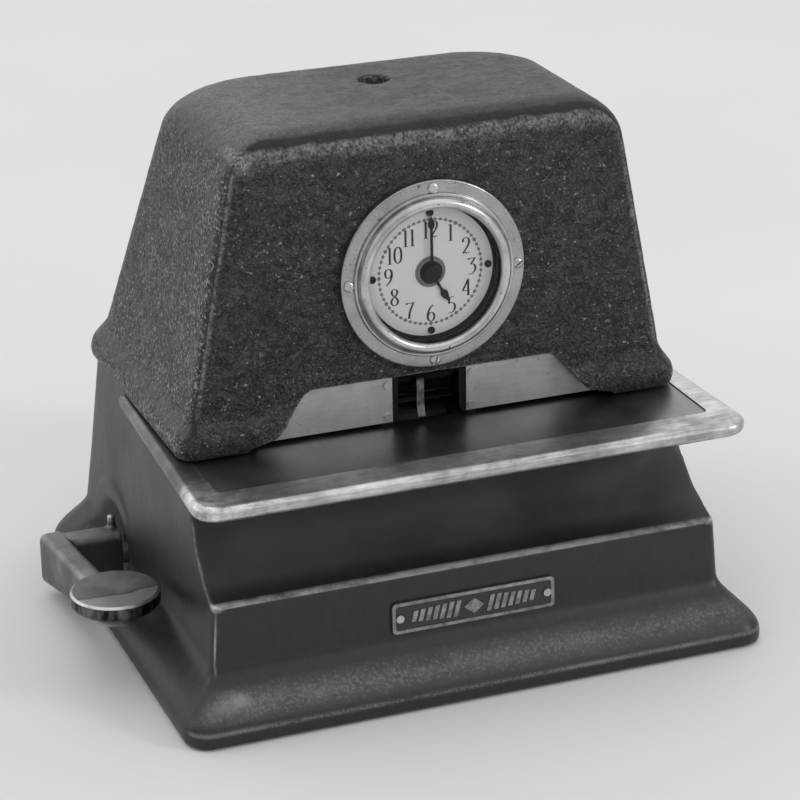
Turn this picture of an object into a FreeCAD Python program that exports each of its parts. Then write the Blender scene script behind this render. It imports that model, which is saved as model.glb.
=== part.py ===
import FreeCAD, Part
import Sketcher
import math
import os

# Desk time recorder (punch time clock): a cast base with a lever at its left,
# a plated card table, and a lift-off cast head that carries the clock dial and
# covers the type wheels.  Frame: +X to the operator's right, -Y towards the
# operator, +Z up.  The origin is the centre of the four fixing holes at the
# level of the surface the clock stands on.  All sizes are in millimetres.

V = FreeCAD.Vector
doc = FreeCAD.newDocument("TimeRecorder")

# ---------------------------------------------------------------- dimensions
DIMENSIONS = {
    # cast base
    "rim_height": 1.0, "lip_top": 5.0, "flare_top": 28.0, "ridge_height": 52.0, "deck_height": 93.0,
    "rear_deck": 99.5, "foot_half_width": 127.4, "foot_front": -113.6, "foot_back": 113.5,
    "wall_half_width": 112.3, "wall_front": -96.0, "wall_back": 106.0,
    "ridge_half_width": 110.6, "ridge_front": -95.2, "ridge_back": 100.4,
    "deck_half_width": 106.6, "deck_back": 93.5, "neck_front": -61.5, "neck_rise": 28.0,
    "neck_hollow": 4.5, "base_wall": 5.0, "feet_x": 95.0, "feet_y": 82.0,
    # card table
    "table_half_width": 120.2, "table_rear_half_width": 114.0, "table_shift": 2.2,
    "table_front": -104.5, "table_back": 30.0,
    "table_top": 99.5, "table_recess": 1.0, "table_roll": 3.1, "table_corner": 11.0,
    "inlay_half_width": 107.0, "inlay_front": -88.5, "inlay_back": 26.0, "inlay_thickness": 0.5,
    # cast head
    "head_bottom": 99.6, "head_top": 230.0, "skirt_height": 19.0, "skirt_flare": 4.4,
    "lip_height": 7.5, "lip_undercut": 2.5, "head_corner": 4.5, "head_back_corner": 18.0,
    "crown_corner": 28.0,
    "head_half_width": 107.7, "head_front": -54.0, "head_back": 92.0, "crown_half_width": 82.9,
    "crown_back": 50.0, "head_wall": 4.0, "crown_round": 17.0, "crown_front_round": 12.0,
    "window_top": 121.5, "window_top_half": 54.0, "window_low_half": 69.0,
    # dial and bezel
    "dial_height": 165.0, "bezel_radius": 39.9, "bezel_screw_circle": 36.7, "bezel_bore": 29.5,
    "bezel_sleeve": 32.6, "dial_radius": 27.4, "carrier_radius": 29.2, "dial_face": -52.5,
    "dial_thickness": 0.8,
    "dial_screw_circle": 25.2, "crystal_radius": 29.3, "crystal_thickness": 1.1,
    # type unit
    "type_axis_y": -33.0, "type_axis_z": 118.5, "type_radius": 13.2, "type_width": 6.0, "type_pitch": 6.2,
    "type_shaft_radius": 3.0, "frame_inside": 21.0, "frame_thickness": 2.0, "frame_top": 134.0,
    "spool_x": 42.0, "spool_flange": 15.0, "spool_width": 16.0, "ribbon_radius": 13.7,
    "ribbon_width": 13.0, "ribbon_thickness": 0.25,
    # throat
    "plate_inner": 16.4, "plate_low": 100.8, "plate_top": 121.0, "plate_face": -49.7, "plate_thickness": 1.0,
    "plate_outer_top": 62.0, "plate_outer_low": 76.0, "cheek_inner": 13.5,
    # lever and hammer
    "lever_axis_y": 50.0, "lever_axis_z": 16.0, "lever_shaft_radius": 5.0, "lever_out": 144.2,
    "lever_thickness": 11.0, "pad_x": -134.0, "pad_y": -33.5, "pad_radius": 18.7, "pad_low": 32.6,
    "pad_height": 6.8, "hammer_axis_y": 20.0, "hammer_axis_z": 78.0, "hammer_pin_radius": 2.5,
    "running_gap": 0.05, "roller_y": 36.0, "roller_z": 41.5, "roller_radius": 3.0,
    "spring_radius": 8.2, "spring_wire": 0.8,
    # lock
    "lock_y": 10.0, "keyhole_radius": 6.5, "lock_barrel_radius": 5.95,
    # nameplate
    "name_half_width": 36.0, "name_low": 27.8, "name_height": 13.9, "name_thickness": 0.9,
    # fasteners
    "screw_radius": 1.2, "screw_head_radius": 2.4, "screw_head_height": 1.3,
    "foot_radius": 8.0, "foot_hole": 2.75, "floor_thickness": 2.0,
}

sheet = doc.addObject("Spreadsheet::Sheet", "Sizes")
for row, (alias, value) in enumerate(DIMENSIONS.items(), start=1):
    sheet.set("A%d" % row, alias)
    sheet.set("B%d" % row, repr(value))
    sheet.setAlias("B%d" % row, alias)
doc.recompute()


def size(alias):
    """Value of one driving dimension, read from the sheet."""
    return float(sheet.get(alias))


NODES = []


def node(item, label, at=None):
    """Give a finished sub-part its label and list it for export."""
    item.Label = label
    if at is not None:
        item.Placement = at
    NODES.append(item)
    return item


def bind(item, **expressions):
    """Bind properties of an object to cells of the sheet."""
    for name, text in expressions.items():
        item.setExpression(name, text)
    return item


def place(x=0.0, y=0.0, z=0.0, axis="Z"):
    """Placement at a point with the local Z axis along X, Y, -Y or Z."""
    turns = {
        "Z": FreeCAD.Rotation(),
        "X": FreeCAD.Rotation(V(0, 1, 0), 90),
        "Y": FreeCAD.Rotation(V(1, 0, 0), -90),
        "-Y": FreeCAD.Rotation(V(1, 0, 0), 90),
    }
    return FreeCAD.Placement(V(x, y, z), turns[axis])


def cylinder(name, radius, height, at):
    """Part::Cylinder bound to the sheet, where radius and height are expressions."""
    item = doc.addObject("Part::Cylinder", name)
    bind(item, Radius=radius, Height=height)
    item.Placement = at
    return item


def box(name, length, width, height, corner):
    """Part::Box bound to the sheet, from its lowest corner."""
    item = doc.addObject("Part::Box", name)
    bind(item, Length=length, Width=width, Height=height)
    item.Placement = FreeCAD.Placement(V(*corner), FreeCAD.Rotation())
    return item


def cut(name, base, *tools):
    """Base with every tool taken away."""
    tool = tools[0]
    if len(tools) > 1:
        tool = fuse(name + "_tools", *tools)
    item = doc.addObject("Part::Cut", name)
    item.Base = base
    item.Tool = tool
    return item


def fuse(name, *shapes):
    """One object from overlapping or touching shapes."""
    item = doc.addObject("Part::MultiFuse", name)
    item.Shapes = list(shapes)
    item.Refine = True
    return item


def group(name, items):
    """Identical pieces kept as separate solids in one node."""
    item = doc.addObject("Part::Compound", name)
    item.Links = items
    return item


def feature(name, shape):
    """Plain feature for shapes that no parametric tool makes."""
    item = doc.addObject("Part::Feature", name)
    item.Shape = shape
    return item


def plane_of(body, role):
    """One of a body's own origin planes."""
    return next(item for item in body.Origin.OriginFeatures if item.Role == role)


def new_sketch(body, name, role, offset=0.0):
    """Sketch on an origin plane of its body, moved along the plane's normal."""
    sketch = body.newObject("Sketcher::SketchObject", name)
    sketch.AttachmentSupport = [(plane_of(body, role), "")]
    sketch.MapMode = "FlatFace"
    sketch.AttachmentOffset = FreeCAD.Placement(V(0, 0, offset), FreeCAD.Rotation())
    return sketch


def rounded(points):
    """Closed outline from (x, y, corner radius) points: lines joined by tangent arcs."""
    count = len(points)
    corners = []
    for index, (x, y, radius) in enumerate(points):
        here = V(x, y, 0)
        back = V(*points[index - 1][:2], 0) - here
        ahead = V(*points[(index + 1) % count][:2], 0) - here
        back.normalize()
        ahead.normalize()
        if radius <= 0:
            corners.append((here, None, here))
            continue
        half = back.getAngle(ahead) / 2
        reach = radius / math.tan(half)
        middle = (back + ahead).normalize() * (radius / math.sin(half) - radius)
        corners.append((here + back * reach, here + middle, here + ahead * reach))
    edges = []
    for index, (start, middle, end) in enumerate(corners):
        if middle is not None:
            edges.append(Part.Arc(start, middle, end))
        after = corners[(index + 1) % count][0]
        if (after - end).Length > 1e-6:
            edges.append(Part.LineSegment(end, after))
    return edges


def draw(sketch, points):
    """Add a rounded outline to a sketch."""
    sketch.addGeometry(rounded(points), False)


def draw_circle(sketch, x, y, radius):
    """Add a circle whose radius is bound to the sheet by an expression."""
    index = sketch.addGeometry(Part.Circle(V(x, y, 0), V(0, 0, 1), 1.0), False)
    constraint = sketch.addConstraint(Sketcher.Constraint("Radius", index, 1.0))
    sketch.setExpression("Constraints[%d]" % constraint, radius)


def pad(body, sketch, length, reverse=False):
    """Pad along the sketch's normal, with the length as an expression."""
    item = body.newObject("PartDesign::Pad", sketch.Name + "_pad")
    item.Profile = sketch
    item.Reversed = reverse
    item.setExpression("Length", length)
    sketch.Visibility = False
    return item


def pocket(body, sketch, length, reverse=False):
    """Pocket against the sketch's normal; it must remove material."""
    doc.recompute()
    before = body.Shape.Volume
    item = body.newObject("PartDesign::Pocket", sketch.Name + "_pocket")
    item.Profile = sketch
    item.Reversed = reverse
    item.setExpression("Length", length)
    doc.recompute()
    if body.Shape.Volume > before - 1e-3:
        raise RuntimeError(item.Name + " removes nothing")
    return item


def new_body(name):
    """Empty PartDesign body."""
    return doc.addObject("PartDesign::Body", name)


def revolve(name, points, at, axis="Z"):
    """Body turned about its own Z axis from a closed (radius, height) outline."""
    body = new_body(name)
    sketch = new_sketch(body, name + "_profile", "XZ_Plane")
    draw(sketch, points)
    turn = body.newObject("PartDesign::Revolution", name + "_turn")
    turn.Profile = sketch
    turn.ReferenceAxis = (sketch, ["V_Axis"])
    turn.Angle = 360.0
    body.Placement = place(*at, axis=axis)
    return body


# ------------------------------------------------------------ casting helpers
def ring(half_width, front, back, height, front_radius, back_radius):
    """Rounded rectangle wire at one height, symmetric about x = 0."""
    outline = rounded([
        (-half_width, front, front_radius), (half_width, front, front_radius),
        (half_width, back, back_radius), (-half_width, back, back_radius),
    ])
    wire = Part.Wire([curve.toShape() for curve in outline])
    wire.translate(V(0, 0, height))
    return wire


def stack(rings, ruled):
    """Solid lofted through a list of rings."""
    return Part.makeLoft(rings, True, ruled)


def prism(points, plane, start, length):
    """Rounded outline in the XZ or YZ plane, extruded along the plane's axis."""
    wire = Part.Wire([curve.toShape() for curve in rounded(points)])
    face = Part.Face(wire)
    if plane == "YZ":
        face.Placement = FreeCAD.Placement(V(start, 0, 0), FreeCAD.Rotation(V(1, 1, 1), 120))
        return face.extrude(V(length, 0, 0))
    face.Placement = FreeCAD.Placement(V(0, start, 0), FreeCAD.Rotation(V(1, 0, 0), 90))
    return face.extrude(V(0, length, 0))


def block(x0, x1, y0, y1, z0, z1):
    """Plain box between limits."""
    return Part.makeBox(x1 - x0, y1 - y0, z1 - z0, V(x0, y0, z0))


def rod(radius, x, y, z, length, direction):
    """Plain cylinder from a point along a direction."""
    return Part.makeCylinder(radius, length, V(x, y, z), direction)


X_AXIS = V(1, 0, 0)
Y_AXIS = V(0, 1, 0)
Z_AXIS = V(0, 0, 1)
FRONT_CORNER = 4.0
BACK_CORNER = 16.0
FOOT_CORNER = 11.0
THROAT_HALF = 14.0
THROAT_FRONT = -46.0
THROAT_BACK = -22.0
SCOOP_X = -150.0
SCOOP_RADIUS = 45.0
SCOOP_WALL = 5.0
BOSS_RADIUS = 13.0
BOSS_OUTER = -112.0
POST_LOW = 4.2
POST_HEIGHT = 44.0
FOOT_POST_RADIUS = 10.5
SCREW_POST_RADIUS = 5.0
PIN_X = 32.5
CORD_X, CORD_Z = 70.0, 22.0
CORD_SEAT = size("wall_back") + 1.4


# ----------------------------------------------------------------- cast base
def base_outside():
    """Foot, S-shaped flare, plinth, and the neck that recedes above the ridge."""
    lip, flare = size("lip_top"), size("flare_top")
    lower = stack([
        ring(size("foot_half_width"), size("foot_front"), size("foot_back"), z, FOOT_CORNER, BACK_CORNER)
        for z in (size("rim_height"), lip)], True)
    steps = 8
    rings = []
    for step in range(steps + 1):
        share = (1 - math.cos(math.pi * step / steps)) / 2

        def blend(low, high):
            return size(low) + (size(high) - size(low)) * share
        rings.append(ring(
            blend("foot_half_width", "wall_half_width"), blend("foot_front", "wall_front"),
            blend("foot_back", "wall_back"), lip + (flare - lip) * step / steps,
            FOOT_CORNER + (FRONT_CORNER - FOOT_CORNER) * share, BACK_CORNER))
    middle = stack(rings, False)
    plinth = stack([
        rings[-1],
        ring(size("ridge_half_width"), size("ridge_front"), size("ridge_back"), size("ridge_height"),
             FRONT_CORNER, BACK_CORNER)], True)
    upper = stack([
        ring(size("ridge_half_width"), size("ridge_front"), size("ridge_back"), size("ridge_height"),
             FRONT_CORNER, BACK_CORNER),
        ring(size("deck_half_width"), size("ridge_front"), size("deck_back"), size("rear_deck"),
             FRONT_CORNER, BACK_CORNER)], True)
    return lower.fuse([middle, plinth, upper.cut(neck_cutter())])


def neck_cutter():
    """Hollow slope from the ridge up to the neck under the table."""
    ridge, neck, top = size("ridge_height"), size("neck_front"), size("rear_deck") + 5
    outside = size("ridge_front") - 20
    low = V(0, size("ridge_front") + 1.5, ridge + 0.5)
    end = V(0, neck, ridge + size("neck_rise"))
    inward = (end - low).cross(X_AXIS).normalize() * size("neck_hollow")
    middle = (low + end) / 2 + inward
    outer, crown, lid = V(0, outside, ridge), V(0, outside, top), V(0, neck, top)
    start = V(0, size("ridge_front"), ridge)
    edges = [
        Part.LineSegment(outer, start), Part.LineSegment(start, low), Part.Arc(low, middle, end),
        Part.LineSegment(end, lid), Part.LineSegment(lid, crown), Part.LineSegment(crown, outer)]
    face = Part.Face(Part.Wire([edge.toShape() for edge in edges]))
    face.translate(V(-size("foot_half_width"), 0, 0))
    return face.extrude(V(2 * size("foot_half_width"), 0, 0))


def base_hollow():
    """Space inside the casting: a wide lower room and a narrower neck."""
    wall = size("base_wall")
    floor = stack([
        ring(size("ridge_half_width") - wall, size("ridge_front") + wall, size("ridge_back") - wall,
             z, 5.0, BACK_CORNER - wall)
        for z in (0.0, size("ridge_height") - wall)], True)
    neck = stack([
        ring(size("deck_half_width") - wall, size("neck_front") + wall, size("deck_back") - wall,
             z, 5.0, BACK_CORNER - wall)
        for z in (size("ridge_height") - wall - 1, size("deck_height") - wall)], True)
    low, inner = size("ridge_height") - wall - 1, size("neck_front") + wall + 1
    half = size("deck_half_width") - wall
    slope = prism([
        (size("ridge_front") + 2 * wall, low, 0), (inner, low, 0),
        (inner, low + size("neck_rise") - 2 * wall + 6, 0), (size("ridge_front") + 2 * wall, low + 1, 0),
    ], "YZ", -half, 2 * half)
    return floor.fuse([neck, slope])


def build_base():
    """Casting with its bosses, lever scoop, table seat, throat and screw holes."""
    y, z = size("lever_axis_y"), size("lever_axis_z")
    shell = base_outside().cut(base_hollow())
    scoop_centre = V(SCOOP_X, y - 2, z + 2)
    scoop = Part.makeSphere(SCOOP_RADIUS, scoop_centre)
    boss = rod(BOSS_RADIUS, BOSS_OUTER, y, z, 20.0, X_AXIS).common(
        block(BOSS_OUTER, -90, 0, 90, POST_LOW, 60))
    backing = Part.makeSphere(SCOOP_RADIUS + SCOOP_WALL, scoop_centre).common(
        block(BOSS_OUTER, -96, y - 48, y + 48, POST_LOW, 66))
    shell = shell.fuse([boss, backing]).cut(scoop)
    shell = shell.cut(rod(8.0, -114.0, y, z, 30.0, X_AXIS))
    seat = block(-130, 130, -130, size("table_back") + 0.3, size("deck_height"), 110)
    throat = block(-THROAT_HALF, THROAT_HALF, THROAT_FRONT, THROAT_BACK, 80, 110)
    shell = shell.cut([seat, throat])
    bosses = []
    holes = []
    for side_x in (-1, 1):
        for side_y in (-1, 1):
            spot = (side_x * size("feet_x"), side_y * size("feet_y"))
            bosses.append(rod(FOOT_POST_RADIUS, spot[0], spot[1], POST_LOW, POST_HEIGHT, Z_AXIS))
            holes.append(rod(size("foot_hole"), spot[0], spot[1], 0, 30.0, Z_AXIS))
    inside = base_outside()
    shell = shell.fuse([boss.common(inside) for boss in bosses]).cut(holes)
    for x, y in floor_screw_spots():
        shell = shell.fuse(rod(SCREW_POST_RADIUS, x, y, POST_LOW, POST_HEIGHT, Z_AXIS).common(inside))
        shell = shell.cut(rod(size("screw_radius"), x, y, 4.0, 8.0, Z_AXIS))
    for x, y in table_screw_spots():
        shell = shell.cut(rod(size("screw_radius"), x, y, 85.0, 12.0, Z_AXIS))
    for x in (-PIN_X, PIN_X):
        shell = shell.cut(rod(0.9, x, -100.0, name_height(), 10.0, Y_AXIS))
    shell = shell.cut([
        rod(6.0, CORD_X, CORD_SEAT - 20, CORD_Z, 30.0, Y_AXIS),
        rod(8.6, CORD_X, CORD_SEAT, CORD_Z, 30.0, Y_AXIS)])
    return shell.removeSplitter()


def floor_screw_spots():
    """Places of the screws that hold the floor plate."""
    return [(x, y) for x in (-70.0, 70.0) for y in (-84.0, 84.0)]


def table_screw_spots():
    """Places of the countersunk screws that hold the table to the deck."""
    return [(x, y) for x in (-80.0, 80.0) for y in (-50.0, 15.0)]


def name_height():
    """Height of the nameplate's centre line."""
    return size("name_low") + size("name_height") / 2


node(feature("BaseCasting", build_base()), "base_casting")


# ------------------------------------------------------- floor, feet, fixings
floor_body = new_body("Floor")
floor_sketch = new_sketch(floor_body, "floor_outline", "XY_Plane", 2.2)
draw(floor_sketch, [(-104.5, -89.5, 5), (104.5, -89.5, 5), (104.5, 94.5, 11), (-104.5, 94.5, 11)])
for x in (-size("feet_x"), size("feet_x")):
    for y in (-size("feet_y"), size("feet_y")):
        draw_circle(floor_sketch, x, y, "Sizes.foot_hole + 0.25")
for x, y in floor_screw_spots():
    draw_circle(floor_sketch, x, y, "Sizes.screw_radius")
pad(floor_body, floor_sketch, "Sizes.floor_thickness")
node(floor_body, "floor_plate")

feet = []
for x in (-size("feet_x"), size("feet_x")):
    for y in (-size("feet_y"), size("feet_y")):
        disc = cylinder("foot_disc", "Sizes.foot_radius", "2.2 mm", place(x, y, 0))
        bore = cylinder("foot_bore", "Sizes.foot_hole", "3 mm", place(x, y, -0.4))
        feet.append(cut("foot_ring", disc, bore))
node(group("Feet", feet), "rubber_feet")


def screw(x, y, z, axis, shank, head=("Sizes.screw_head_radius", "Sizes.screw_head_height")):
    """Cheese-head screw: the head starts at the point, the shank runs along the axis."""
    direction = {"Z": V(0, 0, 1), "-Z": V(0, 0, -1), "Y": V(0, 1, 0)}[axis]
    turn = {
        "Z": FreeCAD.Rotation(), "-Z": FreeCAD.Rotation(V(1, 0, 0), 180),
        "Y": FreeCAD.Rotation(V(1, 0, 0), -90)}[axis]
    head_item = doc.addObject("Part::Cylinder", "screw_head")
    bind(head_item, Radius=head[0], Height=head[1])
    head_item.Placement = FreeCAD.Placement(V(x, y, z), turn)
    doc.recompute()
    under = V(x, y, z) + direction * float(head_item.Height)
    slot = doc.addObject("Part::Box", "screw_slot")
    slot.Length = 0.6
    slot.Width = 2 * float(head_item.Radius) + 1
    slot.Height = 1.0
    slot_base = V(-0.3, -float(head_item.Radius) - 0.5, -0.5)
    slot.Placement = FreeCAD.Placement(V(x, y, z), turn).multiply(
        FreeCAD.Placement(slot_base, FreeCAD.Rotation()))
    shank_item = doc.addObject("Part::Cylinder", "screw_shank")
    bind(shank_item, Radius="Sizes.screw_radius", Height=shank)
    shank_item.Placement = FreeCAD.Placement(under, turn)
    return fuse("screw", cut("slotted_head", head_item, slot), shank_item)


node(group("FloorScrews", [
    screw(x, y, 0.9, "Z", "8 mm") for x, y in floor_screw_spots()]), "floor_plate_screws")


# ----------------------------------------------------------------- nameplate
plate_body = new_body("Nameplate")
plate_sketch = new_sketch(plate_body, "nameplate_outline", "XZ_Plane")
name_w, name_h = size("name_half_width"), size("name_height") / 2
draw(plate_sketch, [(-name_w, -name_h, 2), (name_w, -name_h, 2), (name_w, name_h, 2), (-name_w, name_h, 2)])
draw_circle(plate_sketch, -PIN_X, 0, "0.9 mm")
draw_circle(plate_sketch, PIN_X, 0, "0.9 mm")
pad(plate_body, plate_sketch, "Sizes.name_thickness")
plate_lean = math.degrees(math.atan2(
    size("ridge_front") - size("wall_front"), size("ridge_height") - size("flare_top")))
plate_share = (name_height() - size("flare_top")) / (size("ridge_height") - size("flare_top"))
plate_y = size("wall_front") + (size("ridge_front") - size("wall_front")) * plate_share
node(plate_body, "nameplate", FreeCAD.Placement(
    V(0, plate_y - 0.02, name_height()), FreeCAD.Rotation(V(1, 0, 0), -plate_lean)))
pins = []
for x in (-PIN_X, PIN_X):
    head = cylinder("pin_head", "1.7 mm", "0.7 mm", place(x, plate_y - 1.7, name_height(), "Y"))
    stem = cylinder("pin_stem", "0.85 mm", "6 mm", place(x, plate_y - 1.3, name_height(), "Y"))
    pins.append(fuse("drive_pin", head, stem))
node(group("NameplatePins", pins), "nameplate_pins")


# ---------------------------------------------------------------- card table
def build_table():
    """Plated table with a rolled edge, a shallow recess and the throat opening."""
    front, back = size("table_front"), size("table_back")
    half, rear = size("table_half_width"), size("table_rear_half_width")
    corner, low, top = size("table_corner"), size("deck_height"), size("table_top")
    outline = rounded([(-half, front, corner), (half, front, corner), (rear, back, 3), (-rear, back, 3)])
    face = Part.Face(Part.Wire([curve.toShape() for curve in outline]))
    face.translate(V(size("table_shift"), 0, low))
    plate = face.extrude(V(0, 0, top - low))
    rolled = [
        edge for edge in plate.Edges
        if abs(edge.BoundBox.ZLength) < 1e-6 and edge.BoundBox.YMin < back - 4]
    plate = plate.makeFillet(size("table_roll"), rolled)
    inlay_half, recess = size("inlay_half_width"), size("table_recess")
    recess_ring = ring(inlay_half, size("inlay_front"), size("inlay_back"), top - recess, 3.0, 2.0)
    recess_ring.translate(V(size("table_shift"), 0, 0))
    plate = plate.cut(Part.Face(recess_ring).extrude(V(0, 0, 5)))
    plate = plate.cut(block(-THROAT_HALF, THROAT_HALF, THROAT_FRONT, THROAT_BACK, 80, 110))
    for x, y in table_screw_spots():
        plate = plate.cut(rod(size("screw_radius"), x, y, 85.0, 12.0, Z_AXIS))
        plate = plate.cut(rod(size("screw_head_radius"), x, y, 96.8, 5.0, Z_AXIS))
    return plate


node(feature("TableTray", build_table()), "table_tray")
node(group("TableScrews", [
    screw(x, y, 98.1, "-Z", "9 mm") for x, y in table_screw_spots()]), "table_screws")

inlay_body = new_body("TableInlay")
inlay_sketch = new_sketch(inlay_body, "inlay_outline", "XY_Plane")
inlay_w = size("inlay_half_width") - 0.1
inlay_left, inlay_right = size("table_shift") - inlay_w, size("table_shift") + inlay_w
draw(inlay_sketch, [
    (inlay_left, size("inlay_front") + 0.1, 2.9), (inlay_right, size("inlay_front") + 0.1, 2.9),
    (inlay_right, size("inlay_back") - 0.1, 1.9), (inlay_left, size("inlay_back") - 0.1, 1.9)])
draw(inlay_sketch, [
    (-THROAT_HALF, THROAT_FRONT, 1), (THROAT_HALF, THROAT_FRONT, 1),
    (THROAT_HALF, THROAT_BACK, 1), (-THROAT_HALF, THROAT_BACK, 1)])
pad(inlay_body, inlay_sketch, "Sizes.inlay_thickness")
node(inlay_body, "table_inlay", place(0, 0, size("table_top") - size("table_recess")))
INLAY_TOP = size("table_top") - size("table_recess") + size("inlay_thickness")


# ----------------------------------------------------------------- cast head
def head_ring(inset, z, round_angle=0.0):
    """Ring of the tapering head at one height, shrunk by a wall and by the crown's rounding."""
    share = (z - size("head_bottom")) / (size("head_top") - size("head_bottom"))
    half = size("head_half_width") + (size("crown_half_width") - size("head_half_width")) * share
    back = size("head_back") + (size("crown_back") - size("head_back")) * share
    drawn_in = 1 - math.cos(round_angle)
    side_in = inset + size("crown_round") * drawn_in
    front_in = inset + size("crown_front_round") * drawn_in
    front_corner = max(size("head_corner") - inset, 2.0)
    back_corner = size("head_back_corner") + (size("crown_corner") - size("head_back_corner")) * share
    return ring(half - side_in, size("head_front") + front_in, back - side_in, z,
                front_corner, back_corner - inset)


def head_block(inset, low, top):
    """Tapering block whose upper rim is rounded like an ellipse."""
    radius = size("crown_round")
    steps = 7
    angles = [math.pi / 2 * step / steps for step in range(steps + 1)]
    crown = [head_ring(inset, top - radius + radius * math.sin(angle), angle) for angle in angles]
    walls = stack([head_ring(inset, low), crown[0]], True)
    return walls.fuse(stack(crown, False))


def skirt():
    """Rounded lip round the head's lower edge, with a concave flare above it."""
    low, height, flare = size("head_bottom"), size("skirt_height"), size("skirt_flare")
    lip, undercut = size("lip_height"), size("lip_undercut")
    steps = 5
    rings = []
    for step in range(steps):
        rise = lip * step / steps
        rings.append(head_ring(undercut * (1 - rise / lip) ** 2 - flare, low + rise))
    for step in range(steps + 3):
        share = step / (steps + 2)
        spread = flare * (1 + math.cos(math.pi * share)) / 2
        rings.append(head_ring(-spread, low + lip + (height - lip) * share))
    return stack(rings, False)


def build_head():
    """Hollow cover with the card window, dial hole, keyhole and screw holes."""
    low, top, wall = size("head_bottom"), size("head_top"), size("head_wall")
    outside = head_block(0.0, low + size("skirt_height"), top).fuse(skirt())
    inside = head_block(wall, low - 2, top - wall - 0.5)
    shell = outside.cut(inside)
    window = prism([
        (-size("window_low_half") - 12.5, low - 1, 0), (size("window_low_half") + 12.5, low - 1, 0),
        (size("window_low_half") + 11.0, low + 1.5, 3), (size("window_low_half"), low + 4.5, 8),
        (size("window_top_half"), size("window_top"), 6), (-size("window_top_half"), size("window_top"), 6),
        (-size("window_low_half"), low + 4.5, 8), (-size("window_low_half") - 11.0, low + 1.5, 3),
    ], "XZ", -75.0, 40.0)
    z = size("dial_height")
    holes = [window, rod(33.0, 0, -70.0, z, 30.0, Y_AXIS),
             rod(size("keyhole_radius"), 0, size("lock_y"), 215.0, 30.0, Z_AXIS)]
    for x, height in ring_spots(size("bezel_screw_circle")):
        holes.append(rod(size("screw_radius"), x, -58.0, z + height, 7.2, Y_AXIS))
    for x, height in bracket_spots():
        holes.append(rod(size("screw_radius"), x, -52.5, z + height, 5.0, Y_AXIS))
    return shell.cut(holes).removeSplitter()


def ring_spots(radius):
    """Offsets at twelve, three, six and nine o'clock."""
    return [(0, radius), (radius, 0), (0, -radius), (-radius, 0)]


def bracket_spots():
    """Offsets of the screws that hold the movement bracket inside the head."""
    return [(x, z) for x in (-37.0, 37.0) for z in (-27.0, 27.0)]


node(feature("HeadCasing", build_head()), "head_casing")

# ------------------------------------------------------ bezel, crystal, dial
DIAL_Z = size("dial_height")
FACE = size("head_front")
sleeve, bore, rim = size("bezel_sleeve"), size("bezel_bore"), size("bezel_radius")
bezel = revolve("Bezel", [
    (bore, -3.0, 0), (sleeve, -3.0, 0), (sleeve, 0.0, 0), (rim, 0.0, 0), (rim, 2.5, 1.2),
    (34.2, 2.9, 0.5), (33.9, 4.6, 0.5), (32.6, 6.8, 1.0), (30.2, 6.4, 1.0), (28.5, 4.2, 0.4),
    (28.5, 3.9, 0), (bore, 3.9, 0)], (0, FACE, DIAL_Z), "-Y")
screw_bores = [
    cylinder("bezel_hole", "Sizes.screw_radius", "12 mm", place(x, FACE - 8, DIAL_Z + height, "Y"))
    for x, height in ring_spots(size("bezel_screw_circle"))]
node(cut("BezelRing", bezel, *screw_bores), "bezel")
node(group("BezelScrews", [
    screw(x, FACE - 4.2, DIAL_Z + height, "Y", "5.8 mm")
    for x, height in ring_spots(size("bezel_screw_circle"))]), "bezel_screws")
node(cylinder("Crystal", "Sizes.crystal_radius", "Sizes.crystal_thickness",
              place(0, FACE - 2.75, DIAL_Z, "-Y")), "crystal")
node(revolve("CrystalRing", [
    (28.2, 0, 0), (29.4, 0, 0), (29.4, 1.1, 0), (28.2, 1.1, 0.3)], (0, FACE - 1.6, DIAL_Z), "-Y"),
    "crystal_ring")

dial_body = new_body("Dial")
dial_sketch = new_sketch(dial_body, "dial_outline", "XZ_Plane")
draw_circle(dial_sketch, 0, 0, "Sizes.dial_radius")
draw_circle(dial_sketch, 0, 0, "2.6 mm")
for x, height in ring_spots(size("dial_screw_circle")):
    draw_circle(dial_sketch, x, height, "0.8 mm")
pad(dial_body, dial_sketch, "Sizes.dial_thickness")
node(dial_body, "dial_plate", place(0, size("dial_face") + size("dial_thickness"), DIAL_Z))
dial_screws = []
for x, height in ring_spots(size("dial_screw_circle")):
    head = cylinder("dial_screw_head", "1.5 mm", "0.7 mm",
                    place(x, size("dial_face"), DIAL_Z + height, "-Y"))
    shank = cylinder("dial_screw_shank", "0.8 mm", "2 mm",
                     place(x, size("dial_face"), DIAL_Z + height, "Y"))
    dial_screws.append(fuse("dial_screw", head, shank))
node(group("DialScrews", dial_screws), "dial_screws")

carrier_body = new_body("DialCarrier")
carrier_sketch = new_sketch(carrier_body, "carrier_outline", "XZ_Plane")
draw_circle(carrier_sketch, 0, 0, "Sizes.carrier_radius")
draw_circle(carrier_sketch, 0, 0, "2.6 mm")
for x, height in ring_spots(size("dial_screw_circle")):
    draw_circle(carrier_sketch, x, height, "0.8 mm")
pad(carrier_body, carrier_sketch, "3.2 mm")
wing_sketch = new_sketch(carrier_body, "carrier_wings", "XZ_Plane")
draw(wing_sketch, [(-42, -32, 6), (42, -32, 6), (42, 32, 6), (-42, 32, 6)])
draw_circle(wing_sketch, 0, 0, "Sizes.carrier_radius - 1")
for x, height in bracket_spots():
    draw_circle(wing_sketch, x, height, "Sizes.screw_radius")
pad(carrier_body, wing_sketch, "1.5 mm")
node(carrier_body, "dial_carrier", place(0, -48.5, DIAL_Z))
bracket_screws = [
    cylinder("bracket_screw", "Sizes.screw_radius", "5 mm", place(x, -47.4, DIAL_Z + height, "-Y"))
    for x, height in bracket_spots()]
node(group("BracketScrews", bracket_screws), "bracket_screws")

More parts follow.
